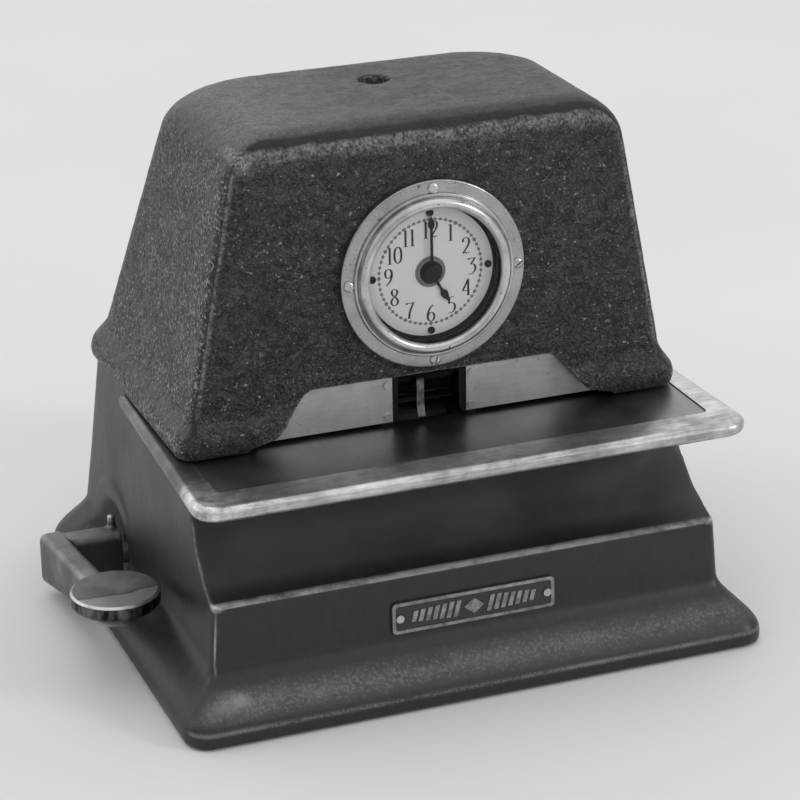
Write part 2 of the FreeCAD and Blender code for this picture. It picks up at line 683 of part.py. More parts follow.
case_body = new_body("MovementCase")
case_sketch = new_sketch(case_body, "case_outline", "XZ_Plane")
draw(case_sketch, [(-30, -28, 5), (30, -28, 5), (30, 28, 5), (-30, 28, 5)])
draw_circle(case_sketch, 0, 0, "2.6 mm")
pad(case_body, case_sketch, "22 mm")
node(case_body, "movement_case", place(0, -26.5, DIAL_Z))
node(cylinder("MotorCan", "19 mm", "20 mm", place(0, -26.5, DIAL_Z, "Y")), "motor_can")

# ---------------------------------------------------------------- clock hands
pipe = revolve("HourPipe", [(1.3, 0, 0), (2.4, 0, 0), (2.4, 14, 0), (1.3, 14, 0)], (0, -39.5, DIAL_Z), "-Y")
node(pipe, "hour_pipe")
node(cylinder("MinuteArbor", "1.25 mm", "25 mm", place(0, -30.4, DIAL_Z, "-Y")), "minute_arbor")


def hand(name, label, angle, outline, hub, hole, face_y, thickness):
    """Flat hand: an outline up from a round hub, turned clockwise by an angle."""
    body = new_body(name)
    sketch = new_sketch(body, name + "_blade", "XZ_Plane")
    draw(sketch, outline)
    pad(body, sketch, thickness)
    hub_sketch = new_sketch(body, name + "_hub", "XZ_Plane")
    draw_circle(hub_sketch, 0, 0, hub)
    pad(body, hub_sketch, thickness)
    bore_sketch = new_sketch(body, name + "_bore", "XZ_Plane")
    draw_circle(bore_sketch, 0, 0, hole)
    pocket(body, bore_sketch, thickness, True)
    turn = FreeCAD.Rotation(Y_AXIS, angle)
    return node(body, label, FreeCAD.Placement(V(0, face_y, DIAL_Z), turn))


hand("HourHand", "hour_hand", 150.0, [
    (-0.6, 0, 0), (0.6, 0, 0), (0.5, 9.4, 0.3), (1.6, 11.0, 0.6), (1.5, 12.4, 0.6), (0, 15.8, 0.2),
    (-1.5, 12.4, 0.6), (-1.6, 11.0, 0.6), (-0.5, 9.4, 0.3)], "4.9 mm", "2.4 mm", -53.1, "0.5 mm")
hand("MinuteHand", "minute_hand", 0.0, [
    (-0.6, 0, 0), (0.6, 0, 0), (0.5, 18.4, 0.2), (1.4, 20.2, 0.6), (1.3, 21.4, 0.6), (0, 24.2, 0.1),
    (-1.3, 21.4, 0.6), (-1.4, 20.2, 0.6), (-0.5, 18.4, 0.2)], "4.2 mm", "1.25 mm", -54.2, "0.5 mm")
node(revolve("HandNut", [(0, 0, 0), (3.6, 0, 0), (3.4, 0.9, 0.4), (0, 1.2, 0)], (0, -55.4, DIAL_Z), "-Y"),
     "hand_nut")


# ----------------------------------------------------------------- type unit
TYPE_Y, TYPE_Z = size("type_axis_y"), size("type_axis_z")
INSIDE, THICK = size("frame_inside"), size("frame_thickness")
SPACERS = [(-18.0, 130.0), (8.0, 128.0), (8.0, 106.0)]


def side_frame(label, side):
    """Side plate of the type unit with its foot flange."""
    body = new_body(label.title().replace("_", ""))
    sketch = new_sketch(body, label + "_outline", "YZ_Plane", INSIDE if side > 0 else -INSIDE - THICK)
    draw(sketch, [
        (-24, INLAY_TOP, 0), (20, INLAY_TOP, 0), (20, size("frame_top"), 8), (-46, size("frame_top"), 6),
        (-46, 108, 2), (-24, 108, 2)])
    draw_circle(sketch, TYPE_Y, TYPE_Z, "Sizes.type_shaft_radius")
    for y, z in SPACERS:
        draw_circle(sketch, y, z, "1.5 mm")
    pad(body, sketch, "Sizes.frame_thickness")
    flange = new_sketch(body, label + "_flange", "XY_Plane", INLAY_TOP)
    reach = (INSIDE + THICK / 2, INSIDE + THICK + 12)
    near, far = (side * reach[0], side * reach[1])
    left, right = min(near, far), max(near, far)
    draw(flange, [(left, -8, 0), (right, -8, 0), (right, 16, 0), (left, 16, 0)])
    pad(body, flange, "2 mm")
    return node(body, label)


side_frame("left_frame_plate", -1)
side_frame("right_frame_plate", 1)
spacer_items = []
for y, z in SPACERS:
    barrel = cylinder("spacer_barrel", "2.6 mm", "2 * Sizes.frame_inside", place(-INSIDE, y, z, "X"))
    ends = cylinder("spacer_end", "1.5 mm", "2 * Sizes.frame_inside + 2 * Sizes.frame_thickness",
                    place(-INSIDE - THICK, y, z, "X"))
    spacer_items.append(fuse("spacer", barrel, ends))
node(group("Spacers", spacer_items), "frame_spacers")
node(cylinder("TypeShaft", "Sizes.type_shaft_radius",
              "2 * Sizes.frame_inside + 2 * Sizes.frame_thickness + 2",
              place(-INSIDE - THICK - 1, TYPE_Y, TYPE_Z, "X")), "type_shaft")


def type_wheel(label, index, count):
    """Type wheel with raised printing faces round its rim."""
    body = new_body(label.title().replace("_", ""))
    disc = new_sketch(body, label + "_disc", "XY_Plane")
    draw_circle(disc, 0, 0, "Sizes.type_radius - 1.2")
    draw_circle(disc, 0, 0, "Sizes.type_shaft_radius + Sizes.running_gap")
    pad(body, disc, "Sizes.type_width")
    face = new_sketch(body, label + "_face", "XY_Plane")
    half = 0.62 * math.pi * size("type_radius") / count
    draw(face, [
        (-half, size("type_radius") - 2.5, 0), (half, size("type_radius") - 2.5, 0),
        (half, size("type_radius") - 0.25, 0), (-half, size("type_radius") - 0.25, 0)])
    slug = pad(body, face, "Sizes.type_width")
    pattern = body.newObject("PartDesign::PolarPattern", label + "_faces")
    pattern.Originals = [slug]
    pattern.Axis = (disc, ["N_Axis"])
    pattern.Angle = 360.0
    pattern.Occurrences = count
    body.Tip = pattern
    start = (index - 2) * size("type_pitch") + (size("type_pitch") - size("type_width")) / 2
    return node(body, label, place(start, TYPE_Y, TYPE_Z, "X"))


TYPE_FACES = [
    ("month_type_wheel", 12), ("day_type_wheel", 16), ("hour_type_wheel", 12), ("minute_type_wheel", 12)]
for index, (label, count) in enumerate(TYPE_FACES):
    type_wheel(label, index, count)

# -------------------------------------------------------------------- ribbon
def spool(label, side):
    """Ribbon spool with its wound ribbon, turning about Y."""
    wide = size("spool_width")
    wound, flange = size("ribbon_radius"), size("spool_flange")
    bore_radius = 2.5 + size("running_gap")
    return node(revolve(label.title().replace("_", ""), [
        (bore_radius, 0, 0), (flange, 0, 0), (flange, 1, 0), (wound, 1, 0), (wound, wide - 1, 0),
        (flange, wide - 1, 0), (flange, wide, 0), (bore_radius, wide, 0)],
        (side * size("spool_x"), -25.0, TYPE_Z), "-Y"), label)


def spool_bracket(label, side):
    """Plate beside the frame that carries a spool post."""
    x = side * size("spool_x")
    inner = side * (INSIDE + THICK)
    left, right = min(inner, x + side * 8), max(inner, x + side * 8)
    plate = box(label + "_plate", "%f mm" % (right - left), "2 mm", "26 mm", (left, -20.0, TYPE_Z - 13))
    post = cylinder(label + "_post", "2.5 mm", "23 mm", place(x, -19.0, TYPE_Z, "-Y"))
    tab_left = inner if side > 0 else inner - 2
    tab = box(label + "_tab", "2 mm", "16 mm", "26 mm", (tab_left, -20.0, TYPE_Z - 13))
    return fuse(label + "_body", plate, post, tab)


spool("left_ribbon_spool", -1)
spool("right_ribbon_spool", 1)
node(group("SpoolBrackets", [spool_bracket("left_spool", -1), spool_bracket("right_spool", 1)]),
     "spool_brackets")
ribbon_low = TYPE_Z - size("ribbon_radius") - 0.2 - size("ribbon_thickness")
node(box("Ribbon", "2 * Sizes.spool_x", "Sizes.ribbon_width", "Sizes.ribbon_thickness",
         (-size("spool_x"), TYPE_Y - size("ribbon_width") / 2, ribbon_low)), "ink_ribbon")


# -------------------------------------------------------------------- throat
GUARD_SCREW_X = 18.6
GUARD_SCREWS = (103.2, 117.4)


def guard_plate(label, side):
    """Nickel plate behind the card window, held by two screws near the throat."""
    body = new_body(label.title().replace("_", ""))
    sketch = new_sketch(body, label + "_outline", "XZ_Plane")
    inner, low, top = size("plate_inner"), size("plate_low"), size("plate_top")
    points = [
        (inner, low, 0), (size("plate_outer_low"), low, 0), (size("plate_outer_top"), top, 0),
        (inner, top, 0)]
    if side < 0:
        points = [(-x, z, r) for x, z, r in reversed(points)]
    draw(sketch, points)
    for height in GUARD_SCREWS:
        draw_circle(sketch, side * GUARD_SCREW_X, height, "1 mm")
    pad(body, sketch, "Sizes.plate_thickness")
    return node(body, label, place(0, size("plate_face") + size("plate_thickness"), 0))


def cheek(label, side):
    """Black cheek beside the throat; its lower corner is rounded."""
    inner, outer = size("cheek_inner"), INSIDE
    low, top = INLAY_TOP, 124.0
    points = [(inner, low, 5.0), (outer, low, 0), (outer, top, 0), (inner, top, 0)]
    if side < 0:
        points = [(-x, z, r) for x, z, r in reversed(points)]
    front = size("plate_face") + size("plate_thickness")
    solid = prism(points, "XZ", front, 7.7)
    for height in GUARD_SCREWS:
        solid = solid.cut(rod(1.0, side * GUARD_SCREW_X, front - 1, height, 5.0, Y_AXIS))
    return node(feature(label.title().replace("_", ""), solid), label)


guard_screws = []
for name, side in (("left", -1), ("right", 1)):
    guard_plate(name + "_guard_plate", side)
    cheek(name + "_throat_cheek", side)
    for height in GUARD_SCREWS:
        head = cylinder("guard_head", "1.6 mm", "0.8 mm",
                        place(side * GUARD_SCREW_X, size("plate_face"), height, "-Y"))
        shank = cylinder("guard_shank", "1 mm", "4 mm",
                         place(side * GUARD_SCREW_X, size("plate_face"), height, "Y"))
        guard_screws.append(fuse("guard_screw", head, shank))
node(group("GuardScrews", guard_screws), "guard_plate_screws")
throat_bar = block(-size("cheek_inner"), size("cheek_inner"), -48.6, -46.6, 119.0, 124.0)
finger_wire = [
    (-49.4, 124.0, 0), (-49.4, 106.0, 2), (-50.6, 101.5, 0), (-50.1, 101.3, 0), (-48.8, 106.1, 1.4),
    (-48.8, 119.0, 0), (-48.6, 119.0, 0), (-48.6, 124.0, 0)]
finger = prism(finger_wire, "YZ", -5.5, 3.2).fuse(throat_bar).removeSplitter()
node(feature("PaperFinger", finger), "paper_guide")


# ---------------------------------------------------------------- head lock
LOCK_Y = size("lock_y")
node(revolve("LockHousing", [(6.0, 0, 0), (9.0, 0, 0), (9.0, 13.5, 0), (6.0, 13.5, 0)],
             (0, LOCK_Y, 212.0)), "lock_housing")
barrel = cylinder("barrel_plug", "Sizes.lock_barrel_radius", "15 mm", place(0, LOCK_Y, 210.0))
key_slot = box("key_slot", "1.4 mm", "7 mm", "6 mm", (-0.7, LOCK_Y - 3.5, 221.0))
node(cut("LockBarrel", barrel, key_slot), "lock_barrel")
cam_hub = cylinder("cam_hub", "5.9 mm", "4 mm", place(0, LOCK_Y, 206.0))
cam_arm = box("cam_arm", "7 mm", "18 mm", "4 mm", (-3.5, LOCK_Y - 18.0, 206.0))
node(fuse("LockCam", cam_hub, cam_arm), "lock_cam")
post_bar = box("post_bar", "6 mm", "6 mm", "%f mm" % (211.0 - INLAY_TOP), (-17.0, 15.0, INLAY_TOP))
post_head = box("post_head", "9 mm", "17 mm", "3 mm", (-18.5, 4.0, 211.0))
post_foot = box("post_foot", "13 mm", "13 mm", "3 mm", (-17.0, 12.5, INLAY_TOP))
node(fuse("LatchPost", post_bar, post_head, post_foot), "latch_post")


# -------------------------------------------------------------------- lever
LEVER_Y, LEVER_Z = size("lever_axis_y"), size("lever_axis_z")
ROOT_END = -109.6
TONGUE_LOW = 26.0
STOP_PIN_RADIUS = 1.9


def bar_section(x, y, z_low, z_high, half_width, radius):
    """Rounded upright section of the lever arm at one distance from the front."""
    outline = rounded([
        (x - half_width, z_low, radius), (x + half_width, z_low, radius),
        (x + half_width, z_high, radius), (x - half_width, z_high, radius)])
    wire = Part.Wire([curve.toShape() for curve in outline])
    wire.Placement = FreeCAD.Placement(V(0, y, 0), FreeCAD.Rotation(V(1, 0, 0), 90))
    return wire


def build_lever():
    """Forged lever: round root on the shaft, elbow, and an arm that rises to the pad."""
    half = size("lever_thickness") / 2
    out = -size("lever_out") + half
    pad_x, pad_y, seat, tip = size("pad_x"), size("pad_y"), size("pad_low"), 26.8
    arm = Part.makeLoft([
        bar_section(out, LEVER_Y + 6.4, 4.6, 28.4, half - 0.1, 2.8),
        bar_section(out + 1.6, LEVER_Y - 26, 11.4, 30.6, half, 2.8),
        bar_section(pad_x, pad_y + 14, 24.5, seat, half, 2.4),
        bar_section(pad_x, pad_y, tip, seat, half, 2.4)], True, True)
    tongue = rod(9.5, pad_x, pad_y, TONGUE_LOW, seat - TONGUE_LOW, Z_AXIS)
    root = prism([
        (LEVER_Y - 6.5, 6.0, 3.5), (LEVER_Y + 6.5, 6.0, 3.5), (LEVER_Y + 6.5, 28.0, 3.5),
        (LEVER_Y - 6.5, 28.0, 3.5)], "YZ", ROOT_END, -size("lever_out") + 2 * half - ROOT_END)
    stop_pin = rod(STOP_PIN_RADIUS, ROOT_END - 2.3, LEVER_Y + 3, 26.0, 7.4, Z_AXIS)
    solid = arm.fuse([tongue, root, stop_pin])
    shaft_hole = rod(size("lever_shaft_radius"), -132.0, LEVER_Y, LEVER_Z, 40.0, X_AXIS)
    return solid.cut(shaft_hole).removeSplitter()


node(feature("Lever", build_lever()), "lever")
pad_r, pad_t = size("pad_radius"), size("pad_height")
node(revolve("ThumbPad", [
    (0, 0, 0), (pad_r - 1.2, 0, 0.8), (pad_r, 1.6, 1.0), (pad_r, pad_t - 0.9, 0.5), (pad_r - 1.0, pad_t, 0.6),
    (0, pad_t - 0.8, 0)], (size("pad_x"), size("pad_y"), size("pad_low"))), "thumb_pad")
node(cylinder("LeverShaft", "Sizes.lever_shaft_radius", "148 mm", place(-132.0, LEVER_Y, LEVER_Z, "X")),
     "lever_shaft")
node(revolve("LeftBushing", [
    (size("lever_shaft_radius") + size("running_gap"), 0, 0), (8.0, 0, 0), (8.0, 12.5, 0),
    (size("lever_shaft_radius") + size("running_gap"), 12.5, 0)], (-104.5, LEVER_Y, LEVER_Z), "X"),
    "left_bushing")
EAR_X = 11.0
ear = prism([
    (LEVER_Y - 10, 4.2, 0), (LEVER_Y + 10, 4.2, 0), (LEVER_Y + 10, LEVER_Z + 10, 8),
    (LEVER_Y - 10, LEVER_Z + 10, 8)], "YZ", EAR_X, 4.0)
ear_foot = block(EAR_X, EAR_X + 18, LEVER_Y - 10, LEVER_Y + 10, 4.2, 6.2)
ear_bore = rod(size("lever_shaft_radius") + size("running_gap"), 0, LEVER_Y, LEVER_Z, 40, X_AXIS)
node(feature("ShaftBracket", ear.fuse(ear_foot).cut(ear_bore)), "shaft_bracket")

ROLLER_Y, ROLLER_Z = size("roller_y"), size("roller_z")


def link_plate(name, x0, x1, ends, bore_radius):
    """Plate across two round ends, bored at the first one."""
    (y0, z0, r0), (y1, z1, r1) = ends
    start, finish = V(x0, y0, z0), V(x0, y1, z1)
    along = (finish - start).normalize()
    across = along.cross(X_AXIS)
    corners = [start + across * r0, finish + across * r1, finish - across * r1, start - across * r0]
    web = Part.Face(Part.makePolygon(corners + corners[:1])).extrude(V(x1 - x0, 0, 0))
    solid = web.fuse([rod(r0, x0, y0, z0, x1 - x0, X_AXIS), rod(r1, x0, y1, z1, x1 - x0, X_AXIS)])
    if bore_radius <= 0:
        return solid
    return solid.cut(rod(bore_radius, x0 - 1, y0, z0, x1 - x0 + 2, X_AXIS))


crank = link_plate("crank", 4.2, 9.2, [(LEVER_Y, LEVER_Z, 10.0), (ROLLER_Y, ROLLER_Z, 5.0)],
                   size("lever_shaft_radius"))
crank = crank.cut(rod(1.5, 3, ROLLER_Y, ROLLER_Z, 10, X_AXIS))
node(feature("CrankArm", crank), "crank_arm")
roller = rod(size("roller_radius"), -3.0, ROLLER_Y, ROLLER_Z, 7.2, X_AXIS).fuse(
    rod(1.5, 4.2, ROLLER_Y, ROLLER_Z, 5.0, X_AXIS))
node(feature("CrankRoller", roller), "crank_roller")


SPRING_TURNS = 8
SPRING_PITCH = 2.6
turn_items = []
for index in range(SPRING_TURNS):
    turn_item = doc.addObject("Part::Torus", "spring_turn")
    bind(turn_item, Radius1="Sizes.spring_radius", Radius2="Sizes.spring_wire")
    turn_item.Placement = place(SPRING_PITCH * index - 80.0, LEVER_Y, LEVER_Z, "X")
    turn_items.append(turn_item)
node(group("ReturnSpring", turn_items), "return_spring")


# ------------------------------------------------------------------- hammer
HAMMER_Y, HAMMER_Z = size("hammer_axis_y"), size("hammer_axis_z")
PIN = size("hammer_pin_radius")
HAMMER_HALF = 3.0


def build_hammer():
    """Bell-crank hammer: forward arm to the head under the throat, tail down to the crank."""
    clearance = PIN + size("running_gap")
    width = 2 * HAMMER_HALF
    arm = link_plate("arm", -HAMMER_HALF, HAMMER_HALF,
                     [(HAMMER_Y, HAMMER_Z, 7.0), (TYPE_Y, 76.5, 4.0)], 0)
    riser = block(-HAMMER_HALF, HAMMER_HALF, TYPE_Y - 4, TYPE_Y + 4, 76.5, 92.0)
    head = block(-11.5, 11.5, TYPE_Y - 6.5, TYPE_Y + 6.5, 92.0, 94.5)
    face_y = ROLLER_Y - size("roller_radius") - 0.35
    tail = link_plate("tail", -HAMMER_HALF, HAMMER_HALF,
                      [(HAMMER_Y, HAMMER_Z, 7.0), (face_y - 4, ROLLER_Z - 4, 4.0)], 0)
    shoe = block(-HAMMER_HALF, HAMMER_HALF, face_y - 8, face_y, ROLLER_Z - 6, ROLLER_Z + 5)
    solid = arm.fuse([riser, head, tail, shoe])
    return solid.cut(rod(clearance, -width, HAMMER_Y, HAMMER_Z, 2 * width, X_AXIS)).removeSplitter()


node(feature("HammerArm", build_hammer()), "hammer_arm")
node(box("PlatenPad", "23 mm", "13 mm", "4.1 mm", (-11.5, TYPE_Y - 6.5, 94.5)), "platen_pad")
bracket_ears = []
for side in (-1, 1):
    near, far = side * 4.5, side * 7.0
    bracket_ears.append(block(min(near, far), max(near, far), HAMMER_Y - 8, HAMMER_Y + 8, 68.0, 86.2))
ears = block(-16, 16, HAMMER_Y - 14, HAMMER_Y + 14, 86.0, 88.0).fuse(bracket_ears)
ears = ears.cut(rod(PIN, -20, HAMMER_Y, HAMMER_Z, 40, X_AXIS))
node(feature("HammerBracket", ears), "hammer_bracket")
node(cylinder("HammerPin", "Sizes.hammer_pin_radius", "16 mm", place(-8.0, HAMMER_Y, HAMMER_Z, "X")),
     "hammer_pivot_pin")

# --------------------------------------------------------------- cord inlet
node(revolve("CordBushing", [
    (3.5, -6, 0), (5.95, -6, 0), (5.95, 0, 0), (8.5, 0, 0), (8.5, 2.5, 1.0), (3.5, 3.2, 0.4)],
    (CORD_X, CORD_SEAT, CORD_Z), "Y"), "cord_bushing")


# -------------------------------------------------------------------- export
def check_and_export():
    """Recompute, stop on any failed object, then write every sub-part."""
    doc.recompute()
    for item in doc.Objects:
        if any(word in item.State for word in ("Invalid", "Error")):
            raise RuntimeError("%s is %s" % (item.Name, item.State))
    os.makedirs("parts", exist_ok=True)
    for item in NODES:
        shape = item.Shape
        if shape.isNull() or not shape.isValid() or not shape.Solids:
            raise RuntimeError(item.Label + " has no valid shape")
        shape.exportStep("parts/%s.step" % item.Label)
        print("%-22s solids %2d volume %10.1f" % (item.Label, len(shape.Solids), shape.Volume))
    print(len(NODES), "nodes")


check_and_export()
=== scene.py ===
import math

import bmesh
import bpy
import numpy as np
from mathutils import Matrix, Vector, noise


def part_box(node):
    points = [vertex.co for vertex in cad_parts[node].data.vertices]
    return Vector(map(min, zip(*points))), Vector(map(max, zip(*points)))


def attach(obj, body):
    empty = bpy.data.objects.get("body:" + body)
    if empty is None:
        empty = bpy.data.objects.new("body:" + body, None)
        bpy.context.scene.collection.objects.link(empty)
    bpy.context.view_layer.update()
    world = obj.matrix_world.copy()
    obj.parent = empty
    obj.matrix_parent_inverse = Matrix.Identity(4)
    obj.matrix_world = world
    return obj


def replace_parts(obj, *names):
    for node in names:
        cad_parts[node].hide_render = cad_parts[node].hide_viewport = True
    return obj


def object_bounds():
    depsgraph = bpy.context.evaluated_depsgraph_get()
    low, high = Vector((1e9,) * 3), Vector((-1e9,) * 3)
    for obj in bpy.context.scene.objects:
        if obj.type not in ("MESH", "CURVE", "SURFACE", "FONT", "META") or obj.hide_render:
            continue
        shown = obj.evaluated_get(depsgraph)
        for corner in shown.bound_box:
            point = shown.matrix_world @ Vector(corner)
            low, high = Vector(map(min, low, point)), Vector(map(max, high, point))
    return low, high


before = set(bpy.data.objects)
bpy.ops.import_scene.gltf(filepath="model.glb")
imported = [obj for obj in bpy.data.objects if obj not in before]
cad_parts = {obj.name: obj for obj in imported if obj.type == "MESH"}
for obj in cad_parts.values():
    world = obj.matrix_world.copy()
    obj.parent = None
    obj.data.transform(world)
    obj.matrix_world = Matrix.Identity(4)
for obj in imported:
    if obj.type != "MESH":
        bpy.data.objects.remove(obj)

CAD_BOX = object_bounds()
MM = 0.001
scene = bpy.context.scene


# ------------------------------------------------------------ shader helpers
class Shader:
    """Small helper around one material's node tree."""

    def __init__(self, name):
        self.material = bpy.data.materials.new(name)
        self.material.use_nodes = True
        self.tree = self.material.node_tree
        self.bsdf = self.tree.nodes["Principled BSDF"]
        self.place = self.add("ShaderNodeTexCoord").outputs["Object"]

    def add(self, kind, **props):
        item = self.tree.nodes.new(kind)
        for key, value in props.items():
            setattr(item, key, value)
        return item

    def put(self, socket, value):
        """Link a socket, or set its plain value."""
        if isinstance(value, bpy.types.NodeSocket):
            self.tree.links.new(value, socket)
        else:
            socket.default_value = value

    def scaled(self, factors):
        """Object coordinates stretched by a factor for each axis."""
        item = self.add("ShaderNodeMapping")
        self.put(item.inputs["Vector"], self.place)
        item.inputs["Scale"].default_value = factors
        return item.outputs["Vector"]

    def noise(self, scale, detail=4.0, rough=0.55, where=None, warp=0.0):
        item = self.add("ShaderNodeTexNoise")
        self.put(item.inputs["Vector"], where or self.place)
        item.inputs["Scale"].default_value = scale
        item.inputs["Detail"].default_value = detail
        item.inputs["Roughness"].default_value = rough
        item.inputs["Distortion"].default_value = warp
        return item.outputs["Fac"]

    def split(self, vector):
        """The three numbers of a vector."""
        item = self.add("ShaderNodeSeparateXYZ")
        self.put(item.inputs[0], vector)
        return item.outputs

    def inside(self, node):
        """Position in millimetres from the low corner of a CAD node's box."""
        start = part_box(node)[0]
        return [self.math("DIVIDE", self.math("SUBTRACT", value, edge), MM)
                for value, edge in zip(self.split(self.place), start)]

    def facing(self):
        """The three numbers of the surface direction."""
        return self.split(self.add("ShaderNodeTexCoord").outputs["Normal"])

    def near(self, value, centre, reach):
        """One at a centre value, falling to nothing at the reach."""
        away = self.math("ABSOLUTE", self.math("SUBTRACT", value, centre))
        return self.span(away, 0.0, reach, 1.0, 0.0)

    def creases(self, scale, width, warp):
        """Worm-like lines: nothing inside a line and one between the lines."""
        away = self.math("ABSOLUTE", self.math("SUBTRACT", self.noise(scale, 2.0, 0.5, None, warp), 0.5))
        return self.span(away, 0.0, width)

    def sum(self, *pairs):
        """Weighted sum of values."""
        total = None
        for value, weight in pairs:
            part = self.math("MULTIPLY", value, weight)
            total = part if total is None else self.math("ADD", total, part)
        return total

    def times(self, *values):
        """Product of values, held between nothing and one."""
        total = values[0]
        for value in values[1:]:
            total = self.math("MULTIPLY", total, value, True)
        return total

    def math(self, operation, a, b=0.0, clamp=False):
        item = self.add("ShaderNodeMath", operation=operation, use_clamp=clamp)
        self.put(item.inputs[0], a)
        self.put(item.inputs[1], b)
        return item.outputs[0]

    def span(self, value, low, high, to_low=0.0, to_high=1.0):
        """Value mapped from one range to another, with the ends held."""
        item = self.add("ShaderNodeMapRange")
        self.put(item.inputs["Value"], value)
        for key, number in (("From Min", low), ("From Max", high), ("To Min", to_low), ("To Max", to_high)):
            self.put(item.inputs[key], number)
        return item.outputs["Result"]

    def blend(self, factor, a, b):
        """Colour between two greys or colours."""
        item = self.add("ShaderNodeMix", data_type="RGBA")
        self.put(item.inputs[0], factor)
        self.put(item.inputs[6], a)
        self.put(item.inputs[7], b)
        return item.outputs[2]

    def attribute(self, name):
        return self.add("ShaderNodeAttribute", attribute_name=name).outputs["Fac"]

    def bump(self, layers):
        """Stacked bump nodes from (height, distance in metres, strength)."""
        normal = None
        for height, distance, strength in layers:
            item = self.add("ShaderNodeBump")
            self.put(item.inputs["Height"], height)
            item.inputs["Distance"].default_value = distance
            item.inputs["Strength"].default_value = strength
            if normal is not None:
                self.put(item.inputs["Normal"], normal)
            normal = item.outputs["Normal"]
        self.put(self.bsdf.inputs["Normal"], normal)

    def set(self, **sockets):
        names = {"colour": "Base Color", "rough": "Roughness", "metal": "Metallic",
                 "specular": "Specular IOR Level"}
        for key, value in sockets.items():
            self.put(self.bsdf.inputs[names[key]], value)
        return self.material


def grey(value):
    return (value, value, value, 1.0)


# ---------------------------------------------------------------- materials
RIDGE_HEIGHT = 51.6  # millimetres above the base's underside


def wrinkled():
    """Black wrinkle enamel of the head: creased in front with painted shade in the creases, painted glints as
    bright grains on the sides, satin crown with painted sheen and a painted highlight.
    """
    s = Shader("head_enamel")
    x, y, z = s.inside("head_casing")
    nx, ny, nz = s.facing()
    low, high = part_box("head_casing")
    top = (high.z - low.z) / MM
    crest, hollow, satin_black, dust = grey(0.044), grey(0.0), grey(0.040), grey(0.110)
    shade, highlight_tone, rim_wear_and_highlight_tone, worn_tone = grey(0.002), grey(0.55), grey(0.24), grey(0.22)
    sides = s.span(s.math("ABSOLUTE", nx), 0.55, 0.85)
    crown = s.span(nz, 0.25, 0.70)
    front = s.math("MULTIPLY", ny, -1.0)

    # relief: two sizes of crease, a fine grain and broad folds
    wide, fine = s.creases(300.0, 0.070, 1.1), s.creases(640.0, 0.080, 0.7)
    grain = s.noise(820.0, 2.0, 0.5)
    cloud = s.noise(30.0, 3.0, 0.5)
    folds = s.noise(150.0, 3.0, 0.6, s.scaled((0.62, 1.0, 1.15)), 1.0)
    relief = s.sum((wide, 0.34), (fine, 0.20), (grain, 0.16), (s.span(folds, 0.40, 0.58), 0.30))
    # painted shade: the creases take the darker tone and the ridges between them the lighter one
    tone = s.blend(s.span(relief, 0.26, 0.88), hollow, crest)

    # smoother crown, with painted sheen and dust lightening its top in specks towards the left
    tone = s.blend(s.span(crown, 0.3, 1.0, 0.0, 0.6), tone, satin_black)
    sheen_and_dust = s.times(s.span(x, 100, 40), s.span(nz, 0.45, 0.9), s.span(grain, 0.40, 0.60, 0.3, 1.0))
    tone = s.blend(sheen_and_dust, tone, dust)

    # painted glints: bright grains, denser on the sides, near the lip and near the front corners
    lip = s.span(z, 4, 40, 0.050, 0.0)
    near_corner = s.span(y, 8, 72, 0.045, 0.0)
    level = s.sum((grain, 1.0), (sides, 0.085), (cloud, 0.10),
                  (s.times(s.math("ADD", lip, near_corner), sides), 1.0))
    patches = s.sum((s.noise(470.0, 2.0, 0.5), 1.0), (sides, 0.04), (s.noise(42.0, 2.0), 0.16),
                    (s.times(lip, sides), 0.8))
    painted_glints = s.math("MAXIMUM", s.span(level, 0.690, 0.790), s.span(patches, 0.760, 0.820))
    painted_glints = s.times(painted_glints, s.span(crown, 0.0, 1.0, 1.0, 0.12))
    tone = s.blend(painted_glints, tone, s.blend(s.span(s.noise(500.0, 2.0), 0.42, 0.62), grey(0.09), grey(0.34)))

    # painted shade on the roll above the front face, a speckled line of wear and painted highlight under it,
    # and a painted highlight on the corner
    roll = s.times(s.span(front, 0.56, 0.70), s.span(front, 0.87, 0.81), s.span(nz, 0.15, 0.4))
    tone = s.blend(roll, tone, shade)
    # painted highlight: a bright spot on the crown's front-left corner
    painted_highlight = s.times(s.near(x, 33, 5), s.near(z, top - 10, 5), s.near(y, 13, 12))
    tone = s.blend(s.times(painted_highlight, s.span(grain, 0.40, 0.60, 0.2, 2.2)), tone, highlight_tone)
    broken = s.span(s.sum((grain, 0.6), (s.noise(210.0, 2.0), 0.4)), 0.40, 0.58)
    # wear and painted highlight: a speckled light line under the dark roll
    rim = s.times(s.span(front, 0.82, 0.88), s.span(front, 0.990, 0.935), s.span(z, 16, 24),
                  s.span(broken, 0.0, 1.0, 0.05, 0.8))
    tone = s.blend(rim, tone, rim_wear_and_highlight_tone)
    worn = s.times(s.span(s.attribute("edge"), 0.24, 0.40), broken)
    tone = s.blend(worn, tone, worn_tone)

    calm = s.span(crown, 0.0, 1.0, 1.0, 0.25)
    s.bump([(cloud, 1.4 * MM, 0.3),
            (s.times(folds, s.span(crown, 0.0, 1.0, 1.0, 0.1)), 1.5 * MM, 0.7),
            (s.times(wide, calm), 0.40 * MM, 1.0),
            (s.times(fine, calm), 0.22 * MM, 0.9),
            (s.times(grain, s.span(crown, 0.0, 1.0, 1.0, 0.3)), 0.30 * MM, 0.9)])
    return s.set(colour=tone, rough=s.span(relief, 0.3, 0.9, 0.56, 0.40), specular=0.5)


